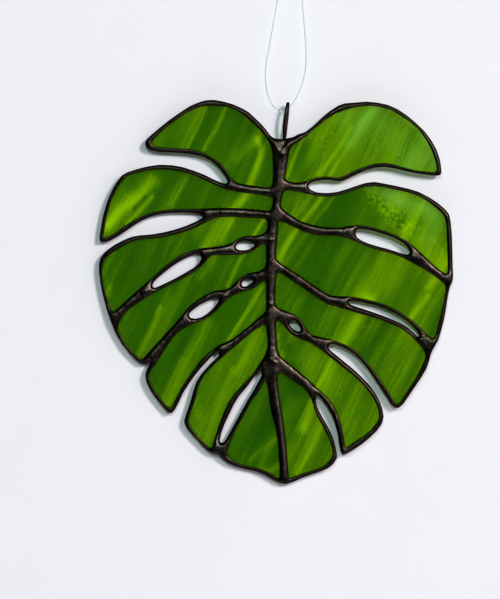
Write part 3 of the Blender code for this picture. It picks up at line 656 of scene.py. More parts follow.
def add_object(name: str, data: bpy.types.ID) -> bpy.types.Object:
    """Adds an object to the scene.

    Args:
        name: The object's name.
        data: Its mesh, curve, light or camera.

    Returns:
        The object, at the origin and unturned.
    """
    made = bpy.data.objects.new(name, data)
    bpy.context.scene.collection.objects.link(made)
    return made


def make_piece(name: str, points: np.ndarray, faces: list, finish: bpy.types.Material,
               crease: float = 60.0,
               marks: dict[str, np.ndarray] | None = None) -> bpy.types.Object:
    """Puts points and faces into a smooth-shaded piece that rides on the leaf.

    Args:
        name: The piece's name.
        points: X, Y and Z of each point, in metres.
        faces: Arrays of corner numbers, each array with its own count of corners a face.
        finish: The material.
        crease: The angle between two faces above which their edge stays sharp, in degrees.
        marks: Values that the points carry for the material, one array a name.

    Returns:
        The new object.
    """
    mesh = bpy.data.meshes.new(name)
    corners = np.concatenate([block.ravel() for block in faces])
    sizes = np.concatenate([np.full(len(block), block.shape[1]) for block in faces])
    mesh.vertices.add(len(points))
    mesh.vertices.foreach_set("co", points.astype(np.float32).ravel())
    mesh.loops.add(len(corners))
    mesh.loops.foreach_set("vertex_index", corners.astype(np.int32))
    mesh.polygons.add(len(sizes))
    starts = np.append(0, np.cumsum(sizes)[:-1]).astype(np.int32)
    mesh.polygons.foreach_set("loop_start", starts)
    mesh.materials.append(finish)
    mesh.update(calc_edges=True)
    mesh.validate()
    mesh.shade_smooth()
    mesh.set_sharp_from_angle(angle=math.radians(crease))
    for label, values in (marks or {}).items():
        layer = mesh.attributes.new(label, "FLOAT", "POINT")
        layer.data.foreach_set("value", values.astype(np.float32))
    piece = add_object(name, mesh)
    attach(piece, "root")
    return piece


def tube(path: np.ndarray, radius: np.ndarray, sides: int,
         closed: bool = False) -> tuple[np.ndarray, list[np.ndarray]]:
    """Carries a circle along a path.

    At each point the circle stands square to the path's direction. Its first spoke is the one
    before it with the part along the new direction taken out, so the tube doesn't twist, and on
    a closed path the turn that is left is shared out along it.

    Args:
        path: The centre line, one row a point.
        radius: The radius at each point, in metres.
        sides: How many points go round.
        closed: Whether the path runs back to its first point.

    Returns:
        The points, and a list of face arrays: quads, then end caps if the path is open.
    """
    count = len(path)
    if closed:
        along = np.roll(path, -1, axis=0) - np.roll(path, 1, axis=0)
    else:
        along = np.gradient(path, axis=0)
    along /= np.linalg.norm(along, axis=1)[:, None]
    any_way = [0.31, 0.42, 0.85]
    spoke = np.cross(along[0], any_way)
    spokes = []
    for way in along:
        spoke = spoke - way * (spoke @ way)
        spoke /= np.linalg.norm(spoke)
        spokes.append(spoke)
    first = np.array(spokes)
    second = np.cross(along, first)
    turn = np.zeros(count)
    if closed:
        last = first[-1] - along[0] * (first[-1] @ along[0])
        angle = math.atan2(last @ second[0], last @ first[0])
        turn = -angle * np.arange(count) / count
    angles = np.linspace(0.0, 2.0 * math.pi, sides, endpoint=False) + turn[:, None]
    spread = (np.cos(angles)[:, :, None] * first[:, None]
              + np.sin(angles)[:, :, None] * second[:, None])
    rings = path[:, None] + radius[:, None, None] * spread
    a = np.arange(count if closed else count - 1)[:, None] * sides
    b = (a + sides) % (count * sides)
    i = np.arange(sides)[None]
    j = (i + 1) % sides
    faces = [np.stack([a + i, a + j, b + j, b + i], axis=2).reshape(-1, 4)]
    if not closed:
        faces += [i[:, ::-1], i + (count - 1) * sides]
    return rings.reshape(-1, 3), faces


def curve_through(points: np.ndarray, count: int) -> np.ndarray:
    """Runs a smooth curve through points.

    Between two points it is the cubic whose slope at each is half the step between that point's
    neighbours, walked in equal steps.

    Args:
        points: The points to pass through, one row each.
        count: How many points come back.

    Returns:
        Points at equal steps along the curve.
    """
    steps_between = 24
    ends = np.vstack([2 * points[0] - points[1], points, 2 * points[-1] - points[-2]])
    t = np.linspace(0.0, 1.0, steps_between + 1)[:-1, None, None]
    a, b, c, d = ends[None, :-3], ends[None, 1:-2], ends[None, 2:-1], ends[None, 3:]
    parts = 0.5 * (2 * b + (c - a) * t + (2 * a - 5 * b + 4 * c - d) * t**2
                   + (3 * b - a - 3 * c + d) * t**3)
    fine = np.vstack([parts.transpose(1, 0, 2).reshape(-1, points.shape[1]), points[-1:]])
    lengths = lengths_along(fine)
    return read_off(fine, lengths, np.linspace(0.0, lengths[-1], count))


def nearness(points: np.ndarray, path: Path, half_width: float, steps: int) -> np.ndarray:
    """Gives one on a drawn path, falling off softly on both sides of it.

    It is e to the minus square of the distance from the smooth path over the half width.

    Args:
        points: X and Z of the points.
        path: What the path passes through, on the pattern.
        half_width: The half width, in pattern units.
        steps: How many points the path is walked in.

    Returns:
        One value a point.
    """
    line = curve_through(to_metres(path), steps)
    away = from_sides(points, line[:-1], np.diff(line, axis=0))
    return np.exp(-(away / (half_width * UNIT)) ** 2)


def opaque(colour: Colour) -> tuple[float, float, float, float]:
    """Gives a colour as the four numbers that a socket holds."""
    return (*colour, 1.0)


class Kind(Enum):
    """The sockets that a shared effect takes and gives."""

    VALUE = "NodeSocketFloat"
    COLOUR = "NodeSocketColor"
    VECTOR = "NodeSocketVector"


class Graph:
    """Adds and joins the nodes of one material or one shared effect."""

    def __init__(self, tree: bpy.types.NodeTree) -> None:
        """Starts on an empty tree."""
        self.tree = tree
        tree.nodes.clear()

    def fill(self, node: bpy.types.Node, inputs: dict) -> None:
        """Joins or sets a node's sockets.

        Args:
            node: The node.
            inputs: What each socket is joined to or holds, by name or number.
        """
        for key, value in inputs.items():
            if isinstance(value, bpy.types.NodeSocket):
                self.tree.links.new(value, node.inputs[key])
            else:
                node.inputs[key].default_value = value

    def add(self, kind: str, inputs: dict | None = None, **settings: object) -> bpy.types.Node:
        """Adds a node.

        Args:
            kind: The node's type, without its leading ShaderNode.
            inputs: What each socket is joined to or holds, by name or number.
            settings: The node's own settings.

        Returns:
            The node.
        """
        node = self.tree.nodes.new(kind if kind.startswith("Node") else "ShaderNode" + kind)
        for name, value in settings.items():
            setattr(node, name, value)
        self.fill(node, inputs or {})
        return node

    def maths(self, operation: str, *values: object, clamp: bool = False) -> bpy.types.NodeSocket:
        """Adds one sum.

        Args:
            operation: What is done with the values.
            values: Numbers or sockets.
            clamp: Whether the result is held between nought and one.

        Returns:
            The result.
        """
        return self.add("Math", dict(enumerate(values)), use_clamp=clamp,
                        operation=operation).outputs[0]

    def weighed(self, *parts: tuple[object, float]) -> bpy.types.NodeSocket:
        """Adds up values, each times its weight.

        Args:
            parts: Each value with its weight.

        Returns:
            The sum.
        """
        total, *others = (self.maths("MULTIPLY", value, weight) for value, weight in parts)
        for other in others:
            total = self.maths("ADD", total, other)
        return total

    def ranged(self, value: object, low: float, high: float, first: float,
               last: float) -> bpy.types.NodeSocket:
        """Carries a value from one range over to another and holds it there.

        Args:
            value: The value.
            low: Where its range starts.
            high: Where its range ends.
            first: What the start becomes.
            last: What the end becomes.

        Returns:
            The new value.
        """
        return self.add("MapRange", {0: value, 1: low, 2: high, 3: first, 4: last}).outputs[0]

    def blend(self, share: object, first: object, second: object) -> bpy.types.NodeSocket:
        """Mixes two colours.

        Args:
            share: How much of the second is taken.
            first: The first colour.
            second: The second colour.

        Returns:
            The mixed colour.
        """
        return self.add("Mix", {0: share, 6: first, 7: second}, data_type="RGBA").outputs[2]

    def noise(self, at: object, scale: float, detail: float, rough: float = 0.5,
              bend: float = 0.0) -> bpy.types.NodeSocket:
        """Adds a cloud pattern.

        Args:
            at: Where it is read.
            scale: How many clouds there are a unit.
            detail: How many finer sizes are laid over them.
            rough: How strong each is beside the one before it.
            bend: How far the clouds are bent.

        Returns:
            The clouds' value.
        """
        return self.add("TexNoise", {"Vector": at, "Scale": scale, "Detail": detail,
                                     "Roughness": rough, "Distortion": bend}).outputs[0]

    def mapped(self, at: object,
               **changes: tuple[float, float, float]) -> bpy.types.NodeSocket:
        """Turns or stretches coordinates.

        Args:
            at: The coordinates.
            changes: The Rotation or the Scale, one number an axis.

        Returns:
            The new coordinates.
        """
        return self.add("Mapping", {"Vector": at, **changes}).outputs[0]

    def place(self) -> bpy.types.NodeSocket:
        """Gives the Object coordinates."""
        return self.add("TexCoord").outputs["Object"]

    def carried(self, name: str) -> bpy.types.NodeSocket:
        """Gives a value that the points carry, or nought where they don't."""
        return self.add("Attribute", attribute_name=name).outputs["Fac"]

    def effect(self, group: bpy.types.NodeTree, inputs: dict) -> dict:
        """Places a shared effect on Object coordinates.

        Args:
            group: The effect.
            inputs: What its other inputs are joined to or hold, by name.

        Returns:
            Its outputs by name.
        """
        node = self.add("Group", {"Vector": self.place(), **inputs}, node_tree=group)
        return {socket.name: socket for socket in node.outputs}

    def bumped(self, height: object, distance: float, strength: float) -> bpy.types.NodeSocket:
        """Turns a height into the normals of its lumps.

        Args:
            height: The height.
            distance: How high a height of one stands, in metres.
            strength: How much of it shows.

        Returns:
            The normal.
        """
        return self.add("Bump", {"Height": height, "Distance": distance,
                                 "Strength": strength}).outputs[0]

    def lamps_pass(self, shader: bpy.types.Node, tint: Colour) -> bpy.types.NodeSocket:
        """Lets the light of lamps through a finish to what is behind it.

        Args:
            shader: The finish as it is seen.
            tint: The colour that the light takes on.

        Returns:
            The shader for the surface.
        """
        lamp = self.add("BsdfTransparent", {"Color": opaque(tint)})
        shadow = self.add("LightPath").outputs["Is Shadow Ray"]
        return self.add("MixShader", {0: shadow, 1: shader.outputs[0],
                                      2: lamp.outputs[0]}).outputs[0]


def shared_effect(name: str, takes: dict, gives: dict) -> tuple[Graph, dict, bpy.types.Node]:
    """Starts a node group that several materials use.

    Args:
        name: The group's name.
        takes: Each input's Kind.
        gives: Each output's Kind.

    Returns:
        The graph, the inputs as sockets by name, and the node that takes the outputs.
    """
    tree = bpy.data.node_groups.new(name, "ShaderNodeTree")
    for way, sockets in (("INPUT", takes), ("OUTPUT", gives)):
        for label, kind in sockets.items():
            tree.interface.new_socket(name=label, in_out=way, socket_type=kind.value)
    graph = Graph(tree)
    start = graph.add("NodeGroupInput")
    end = graph.add("NodeGroupOutput")
    return graph, {label: start.outputs[label] for label in takes}, end


def patina_effect() -> bpy.types.NodeTree:
    """Builds the uneven brown-black bloom that solder, tinned wire and foil share.

    Clouds of two sizes choose between the dark and the rubbed colour, as far as the wear input
    lets them. On the solder that input follows the bead's thickness, so it paints a highlight on
    wide bead tops and shade on narrow rims.
    Fine clouds and small pits give the height.

    Returns:
        The node group, with outputs Colour, Roughness and Height.
    """
    graph, takes, end = shared_effect(
        "patina_bloom",
        {"Vector": Kind.VECTOR, "Dark": Kind.COLOUR, "Wear_and_highlight_colour": Kind.COLOUR, "Wear_and_highlight": Kind.VALUE},
        {"Colour": Kind.COLOUR, "Roughness": Kind.VALUE, "Height": Kind.VALUE})
    at = takes["Vector"]
    broad = graph.noise(at, scale=160.0, detail=3.0, rough=0.6)
    small = graph.noise(at, scale=900.0, detail=4.0, rough=0.62)
    fine = graph.noise(at, scale=3200.0, detail=2.0)
    share = graph.ranged(graph.weighed((broad, 0.55), (small, 0.45)), 0.42, 0.66, 0.0, 1.0)
    # On the solder the wear input is the bead-thickness mask: it paints highlight on wide bead
    # tops and shade on narrow rims.
    share = graph.maths("MULTIPLY", share, takes["Wear_and_highlight"], clamp=True)
    pits = graph.add("TexVoronoi", {"Vector": at, "Scale": 520.0}).outputs["Distance"]
    pits = graph.ranged(pits, 0.0, 0.16, -0.5, 0.0)
    graph.fill(end, {
        "Colour": graph.blend(share, takes["Dark"], takes["Wear_and_highlight_colour"]),
        "Roughness": graph.ranged(small, 0.3, 0.7, 0.28, 0.36),
        "Height": graph.weighed((small, 1.0), (fine, 0.18), (pits, 1.0))})
    return graph.tree


# The colour scale of the two greens stirred together, the pale green of a painted sheen that
# stands for soft light reflected off the glass, and how far up from the right the sheet was
# pulled, in degrees.
GREENS = (
    (0.0, (0.034, 0.158, 0.0)), (0.3, (0.076, 0.228, 0.0)), (0.6, (0.235, 0.425, 0.0)),
    (0.8, (0.38, 0.62, 0.0)), (1.0, (0.55, 0.80, 0.0)),
)
SHEEN_GREEN = (0.42, 0.80, 0.14)
PULL = 63.0


def streak_effect() -> bpy.types.NodeTree:
    """Builds the wisps of two greens stirred into one sheet of glass.

    Clouds are drawn out along the way the sheet was pulled, at two widths. Their sum, with the
    strokes that each pane carries, runs a colour scale from deep green to yellow green. A painted
    sheen adds a paler green in soft clouds where soft light is reflected, and flecks are lighter
    and darker specks painted as the mottled glints of that reflection.

    Returns:
        The node group, with outputs Colour and Height.
    """
    graph, takes, end = shared_effect(
        "streaky_glass",
        {"Vector": Kind.VECTOR, "Stroke": Kind.VALUE, "Painted_sheen": Kind.VALUE, "Painted_glint": Kind.VALUE},
        {"Colour": Kind.COLOUR, "Height": Kind.VALUE})
    at = takes["Vector"]
    drift = graph.maths("SUBTRACT", graph.noise(at, scale=26.0, detail=2.0), 0.5)
    drift = graph.maths("MULTIPLY", drift, 0.008)
    moved = graph.add("VectorMath", {0: at, 1: drift}, operation="ADD").outputs[0]
    turned = graph.mapped(moved, Rotation=(0.0, math.radians(PULL), 0.0))
    wide = graph.mapped(turned, Scale=(12.0, 60.0, 150.0))
    thin = graph.mapped(turned, Scale=(22.0, 120.0, 520.0))
    soft = graph.mapped(turned, Scale=(55.0, 90.0, 190.0))
    broad = graph.noise(wide, scale=1.0, detail=3.0, rough=0.55, bend=0.3)
    fine = graph.noise(thin, scale=1.0, detail=3.0, rough=0.6, bend=0.2)
    wisps = graph.weighed((graph.maths("SUBTRACT", broad, 0.5), 0.62),
                          (graph.maths("SUBTRACT", fine, 0.5), 0.42))
    # Painted glints: lighter and darker specks standing for the mottled reflection, where the
    # glint mask is set.
    glint_speck = graph.ranged(graph.noise(at, scale=430.0, detail=3.0, rough=0.6),
                         0.40, 0.62, -0.6, 0.6)
    wisps = graph.maths("SUBTRACT", wisps, graph.maths("MULTIPLY", takes["Painted_glint"], glint_speck))
    level = graph.maths("ADD", takes["Stroke"], wisps, clamp=True)
    scale = graph.add("ValToRGB", {0: level})
    while len(scale.color_ramp.elements) < len(GREENS):
        scale.color_ramp.elements.new(0.5)
    for stop, (place, colour) in zip(scale.color_ramp.elements, GREENS):
        stop.position, stop.color = place, opaque(colour)
    # Painted sheen: soft clouds of paler green standing for soft light reflected off the rippled
    # surface.
    cloud = graph.ranged(graph.noise(soft, scale=1.0, detail=4.0, rough=0.6),
                         0.25, 0.70, 0.25, 1.0)
    painted_sheen = graph.maths("MULTIPLY", takes["Painted_sheen"], cloud, clamp=True)
    ripple = graph.noise(at, scale=130.0, detail=2.0)
    pull = graph.noise(thin, scale=0.5, detail=1.0, rough=0.4)
    graph.fill(end, {"Colour": graph.blend(painted_sheen, scale.outputs[0], opaque(SHEEN_GREEN)),
                     "Height": graph.weighed((ripple, 1.0), (pull, 0.25))})
    return graph.tree


def new_material(name: str) -> tuple[bpy.types.Material, Graph, bpy.types.Node]:
    """Starts a material that holds only its output.

    Args:
        name: The material's name.

    Returns:
        The material, its graph and its output node.
    """
    made = bpy.data.materials.new(name)
    made.use_nodes = True
    graph = Graph(made.node_tree)
    return made, graph, graph.add("OutputMaterial")


@dataclass(frozen=True)
class MetalFinish:
    """Tin solder, tinned wire or foil under a black-brown patina, waxed to a satin.

    The patina is rubbed brown where the points' carried mask is high, and kept black elsewhere.
    On the solder that mask follows the bead's thickness, so the brown is a painted highlight on
    wide bead tops and the black a painted shade on narrow rims.
    """

    name: str
    dark: Colour = (0.027, 0.018, 0.014)
    # The rubbed brown: random wear, and on the solder's wide bead tops a painted highlight.
    wear_and_highlight: Colour = (0.094, 0.080, 0.064)
    edge: Colour = (0.055, 0.042, 0.036)
    # The share of brown where the mask is full and where it is empty; on the solder they paint
    # highlight and shade.
    wear_and_highlight_share: float = 1.0
    kept: float = 0.25
    depth: float = 0.000014
    strength: float = 0.7

    def material(self, bloom: bpy.types.NodeTree) -> bpy.types.Material:
        """Mixes the finish.

        Args:
            bloom: The shared patina effect.

        Returns:
            The material.
        """
        made, graph, end = new_material(self.name)
        # The carried mask; on the solder it is bead thickness, which paints highlight on wide tops
        # and shade on narrow rims.
        wear_and_highlight_share = graph.ranged(graph.carried("wear_and_highlight"), 0.0, 1.0, self.kept, self.wear_and_highlight_share)
        look = graph.effect(bloom, {"Dark": opaque(self.dark), "Wear_and_highlight_colour": opaque(self.wear_and_highlight),
                                    "Wear_and_highlight": wear_and_highlight_share})
        shader = graph.add("BsdfPrincipled", {
            "Base Color": look["Colour"], "Roughness": look["Roughness"], "Metallic": 1.0,
            "Specular Tint": opaque(self.edge),
            "Normal": graph.bumped(look["Height"], self.depth, self.strength)})
        graph.fill(end, {"Surface": shader.outputs[0]})
        return made


@dataclass(frozen=True)
class GlassFinish:
    """Streaky rolled glass, clear enough to see through, with a slightly rippled gloss."""

    name: str = "streaky_green_glass"
    clear: float = 0.56
    roughness: float = 0.09
    depth: float = 0.00005
    strength: float = 0.15
    lamp_tint: Colour = (0.30, 0.38, 0.34)

    def material(self, streaks: bpy.types.NodeTree) -> bpy.types.Material:
        """Mixes the finish, which lets lamps through to what is behind it.

        Args:
            streaks: The shared streak effect.

        Returns:
            The material.
        """
        made, graph, end = new_material(self.name)
        # The points' marks: streaks, and the masks of the painted sheen and the painted glints.
        look = graph.effect(streaks, {label: graph.carried(label.lower())
                                      for label in ("Stroke", "Painted_sheen", "Painted_glint")})
        shader = graph.add("BsdfPrincipled", {
            "Base Color": look["Colour"], "Roughness": self.roughness, "Metallic": 0.0,
            "IOR": 1.5, "Transmission Weight": self.clear,
            "Normal": graph.bumped(look["Height"], self.depth, self.strength)})
        graph.fill(end, {"Surface": graph.lamps_pass(shader, self.lamp_tint)})
        return made


@dataclass(frozen=True)
class NylonFinish:
    """Clear nylon line, which lets most of a lamp's light through."""

    name: str = "clear_nylon"
    # The grey-teal is partly painted shadow: it stands for the line's own shadow merged with it,
    # while its cast shadow is kept faint.
    shade: Colour = (0.50, 0.57, 0.58)
    light: Colour = (0.64, 0.70, 0.71)
    lamp_tint: Colour = (0.90, 0.96, 0.96)

    def material(self) -> bpy.types.Material:
        """Mixes the finish.

        Returns:
            The material.
        """
        made, graph, end = new_material(self.name)
        cloud = graph.noise(graph.place(), scale=700.0, detail=2.0)
        shader = graph.add("BsdfPrincipled", {
            "Base Color": graph.blend(cloud, opaque(self.shade), opaque(self.light)),
            "Roughness": 0.22, "IOR": 1.45, "Transmission Weight": 0.3,
            "Normal": graph.bumped(cloud, 0.00002, 0.3)})
        graph.fill(end, {"Surface": graph.lamps_pass(shader, self.lamp_tint)})
        return made


@dataclass(frozen=True)
class PaperFinish:
    """The pale, faintly mottled surface of the backdrop and the floor."""

    name: str
    colour: Colour = (0.905, 0.87, 0.915)
    mottle: float = 0.965
    one_sided: bool = False

    def material(self) -> bpy.types.Material:
        """Mixes the finish; a one-sided surface is clear from behind, to the eye and to lamps.

        Returns:
            The material.
        """
        made, graph, end = new_material(self.name)
        cloud = graph.noise(graph.place(), scale=60.0, detail=5.0, rough=0.7)
        shade = opaque(tuple(part * self.mottle for part in self.colour))
        surface = graph.add("BsdfPrincipled", {
            "Base Color": graph.blend(cloud, shade, opaque(self.colour)), "Roughness": 0.8,
            "Specular IOR Level": 0.1}).outputs[0]
        if self.one_sided:
            behind = graph.add("NewGeometry").outputs["Backfacing"]
            shadow = graph.add("LightPath").outputs["Is Shadow Ray"]
            clear = graph.add("BsdfTransparent")
            surface = graph.add("MixShader", {0: graph.maths("MAXIMUM", behind, shadow),
                                              1: surface, 2: clear.outputs[0]}).outputs[0]
        graph.fill(end, {"Surface": surface})
        return made


SOLDER_FINISH = MetalFinish("black_patina_solder")
WIRE_FINISH = MetalFinish("patina_wire", kept=0.5)
# Black-backed copper foil, crinkled from burnishing.
FOIL_FINISH = MetalFinish("copper_foil", dark=(0.008, 0.005, 0.004), wear_and_highlight=(0.16, 0.07, 0.04),
                          edge=(1.0, 1.0, 1.0), kept=0.5, depth=0.00003, strength=0.5)


@dataclass(frozen=True)
class Ridge:
    """One lump, fold or dent of the solder: a soft mound on the front.

    Its place and its two half sizes are in pattern units, its angle is in degrees up from the
    right, and its rise is in millimetres.
    """

    at: tuple[float, float]
    angle: float
    half_length: float
    half_width: float
    rise: float

    def height(self, points: np.ndarray) -> np.ndarray:
        """Gives the mound's height.

        The height falls off as e to the minus square of the distance along the mound over its
        half length, less the square of that across it over its half width.

        Args:
            points: X and Z of the points.

        Returns:
            One height a point, in metres.
        """
        x, z = (points - to_metres([self.at])[0]).T
        cosine, sine = math.cos(math.radians(self.angle)), math.sin(math.radians(self.angle))
        along = (x * cosine + z * sine) / (self.half_length * UNIT)
        across = (z * cosine - x * sine) / (self.half_width * UNIT)
        return self.rise * MILLIMETRE * np.exp(-along**2 - across**2)


@dataclass(frozen=True)
class Spine:
    """One long ridge of the solder on the front.

    Its path and half width are in pattern units, and its rise is in millimetres.
    """

    path: Path
    half_width: float
    rise: float

    def height(self, points: np.ndarray) -> np.ndarray:
        """Gives the ridge's height.

        Args:
            points: X and Z of the points.

        Returns:
            One height a point, in metres.
        """
        near = nearness(points, self.path, self.half_width, steps=40)
        return self.rise * MILLIMETRE * near


# The solder's lumps, folds and dents: place, angle, half length, half width and rise.
RIDGES = tuple(Ridge(*row) for row in (
    ((222, 211), 90, 4.0, 1.6, 0.30), ((266, 213), 80, 5.0, 1.5, 0.28),
    ((306, 187), 80, 5.0, 1.5, 0.26), ((272, 240), 5, 6.0, 1.2, 0.25),
    ((225, 296), 0, 3.0, 2.5, 0.45), ((207, 298), 60, 3.5, 1.6, 0.3),
    ((146, 291), 30, 4.0, 2.0, 0.4), ((141, 296), 110, 3.0, 1.4, -0.35),
    ((350, 233), 75, 5.0, 1.3, 0.32), ((345, 231), 75, 5.0, 1.3, 0.25),
    ((354, 236), 60, 3.0, 1.2, -0.3), ((344, 303), 75, 4.0, 1.4, 0.3),
    ((278, 357), 20, 4.0, 1.4, 0.35), ((274, 362), -30, 4.0, 1.4, 0.3),
    ((272, 304), 10, 4.0, 1.6, 0.3), ((308, 333), 40, 3.0, 1.6, 0.3),
    ((284, 144), 90, 2.4, 1.1, -0.7), ((284, 151.9), 0, 5.0, 0.6, -0.2),
    ((289, 145.8), 50, 5.0, 2.4, 0.45), ((294, 141.6), 10, 4.0, 1.8, 0.35),
    ((423, 336), 0, 2.0, 2.0, -0.5),
))
# The ridge down the midrib and the two that run into it at the top: path, half width and rise.
SPINES = tuple(Spine(*row) for row in (
    (((283.5, 153), (280.5, 166), (279.3, 185), (277.6, 205), (274, 220), (271.5, 245),
      (270.5, 268), (269.3, 300), (270, 330), (271.5, 352), (275, 380), (278.3, 410),
      (281.8, 447), (284.8, 476)), 4.4, 0.45),
    (((264, 129), (270, 139), (276, 146), (280, 153)), 3.2, 0.35),
    (((300, 139.5), (291, 144), (286, 148.5), (283.5, 154)), 3.2, 0.40),
))


@dataclass
class SolderNetwork:
    """The one soldered network: midrib, seams and rims as rounded beads on both faces.

    The beads stand on the face, a height above the leaf's middle plane, and bead is the share of
    the half circle that they rise to. Round each pane the lip is the height at which the solder
    ends, and the hem and the groove are how far back from the window's edge the channel starts
    and ends. Ridges fade out over thin solder. Between two heights of the film the points carry a
    mask that lightens the patina: a painted highlight on wide bead tops, painted shade on narrow
    rims.
    """

    finish: bpy.types.Material
    step: float = 0.0006
    cell: float = 0.00072
    rows: tuple[float, ...] = (0.0002, 0.00058)
    corner: float = 0.0005
    hole_corner: float = 0.0004
    face: float = 0.00152
    rim_round: float = 0.0013
    bead: float = 0.78
    lumps: tuple[tuple[float, float], ...] = ((0.13, 0.0062), (0.11, 0.0021), (0.05, 0.0009))
    crown: float = 0.0018
    back_crown: float = 0.0011
    fade: float = 0.0007
    lip: float = 0.00174
    hem: float = 0.00007
    groove: float = 0.00096
    # The film heights between which the carried mask rises: painted highlight on wide beads,
    # painted shade on narrow rims.
    painted_highlight_from: float = 0.0009
    painted_highlight_to: float = 0.0022
    crease: float = 70.0
    front_seed: int = 11
    back_seed: int = 37

    def relief(self, points: np.ndarray, film: np.ndarray, rim: np.ndarray, crown: float,
               seed: int) -> np.ndarray:
        """Gives the solder's height above the leaf's middle plane on one face.

        Near a free edge it is a quarter ellipse that rises to the glass. On top stands the bead:
        the film's half circle, flattened, swollen here and there by three sizes of lumps, and
        held under the crown height by a hyperbolic tangent.

        Args:
            points: X and Z of the points.
            film: The film's half circle at each point.
            rim: The distance to the nearest free edge.
            crown: What the bead's height above the glass stays under.
            seed: What the lumps start from.

        Returns:
            One height a point, in metres.
        """
        base = self.face * np.sqrt(1.0 - (1.0 - np.clip(rim / self.rim_round, 0.0, 1.0)) ** 2)
        rise = self.bead * film * waves(points, self.lumps, seed, 1.0)
        return base + crown * np.tanh(rise / crown)

    def channel(self, line: np.ndarray) -> np.ndarray:
        """Draws the channel round one pane: under the lip, out to the foil, through and in.

        Args:
            line: X and Z round the pane's window.

        Returns:
            Four rows of points, each as long as the line.
        """
        rows = ((self.hem, -self.lip), (self.groove, -self.lip), (self.groove, self.lip),
                (self.hem, self.lip))
        return np.array([np.insert(offset(line, out), 1, y, axis=1) for out, y in rows])

    def build(self) -> bpy.types.Object:
        """Builds the network as one closed piece over its solid.

        Both faces carry the same flat triangles. They share their points round the outline and
        the openings, and round each pane a channel joins them.

        Returns:
            The piece.
        """
        free = [rounded_loop(OUTLINE, self.step, self.corner)]
        free += [rounded_loop(hole, self.step, self.hole_corner) for hole in HOLES]
        panes = [rounded_loop(window, self.step, self.corner) for window in WINDOWS.values()]
        sheet = Sheet.filled(free + panes, self.rows, self.cell)
        flat, film = sheet.points, sheet.membrane()
        edge = np.concatenate(sheet.loops[:len(free)])
        rim = distance_to(flat, free)
        rim[edge] = 0.0
        front = self.relief(flat, film, rim, self.crown, self.front_seed)
        back = self.relief(flat, film, rim, self.back_crown, self.back_seed)
        soft = np.clip(film / self.fade, 0.0, 1.0)
        for mark in (*RIDGES, *SPINES):
            front += mark.height(flat) * soft
        count = len(flat)
        other = np.arange(count) + count
        other[edge] = edge
        blocks = [np.insert(flat, 1, y, axis=1) for y in (-front, back)]
        faces = [sheet.triangles, other[sheet.triangles][:, ::-1]]
        start = 2 * count
        for loop in sheet.loops[len(free):]:
            rows = self.channel(flat[loop])
            blocks.extend(rows)
            numbers = start + np.arange(rows.shape[0] * len(loop)).reshape(-1, len(loop))
            start += numbers.size
            ring = [loop, *numbers, other[loop]]
            faces += [np.column_stack([near, np.roll(near, -1), np.roll(far, -1), far])
                      for near, far in zip(ring, ring[1:])]
        points = np.vstack(blocks)
        used = np.zeros(len(points), bool)
        used[np.concatenate([block.ravel() for block in faces])] = True
        number = np.cumsum(used) - 1
        # Painted highlight and shade: a mask by film height makes the patina lighter on thick
        # beads and black on thin rims.
        wear_and_highlight = np.clip((film - self.painted_highlight_from) / (self.painted_highlight_to - self.painted_highlight_from), 0.0, 1.0)
        wear_and_highlight = np.concatenate([wear_and_highlight, wear_and_highlight, np.zeros(len(points) - 2 * count)])
        piece = make_piece("solder_beads", points[used], [number[block] for block in faces],
                           self.finish, self.crease, {"wear_and_highlight": wear_and_highlight[used]})
        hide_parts("solder_network")
        return piece


@dataclass(frozen=True)
class Stroke:
    """One streak in the glass, brighter, or darker where its light is below nought.

    Its path and half width are in pattern units.
    """

    path: Path
    half_width: float
    light: float

    def value(self, points: np.ndarray) -> np.ndarray:
        """Gives the streak's light.

        Args:
            points: X and Z of the points.

        Returns:
            One value a point.
        """
        return self.light * nearness(points, self.path, self.half_width, steps=24)


# How light a pane is before its streaks, and the panes that differ.
PLAIN_LIGHT = 0.3
PANE_LIGHT = {
    "left_3": 0.33, "left_4": 0.31, "left_6": 0.43, "left_7": 0.29, "right_1": 0.51,
    "right_2": 0.31, "right_4": 0.36, "right_5": 0.53, "right_6": 0.38,
}
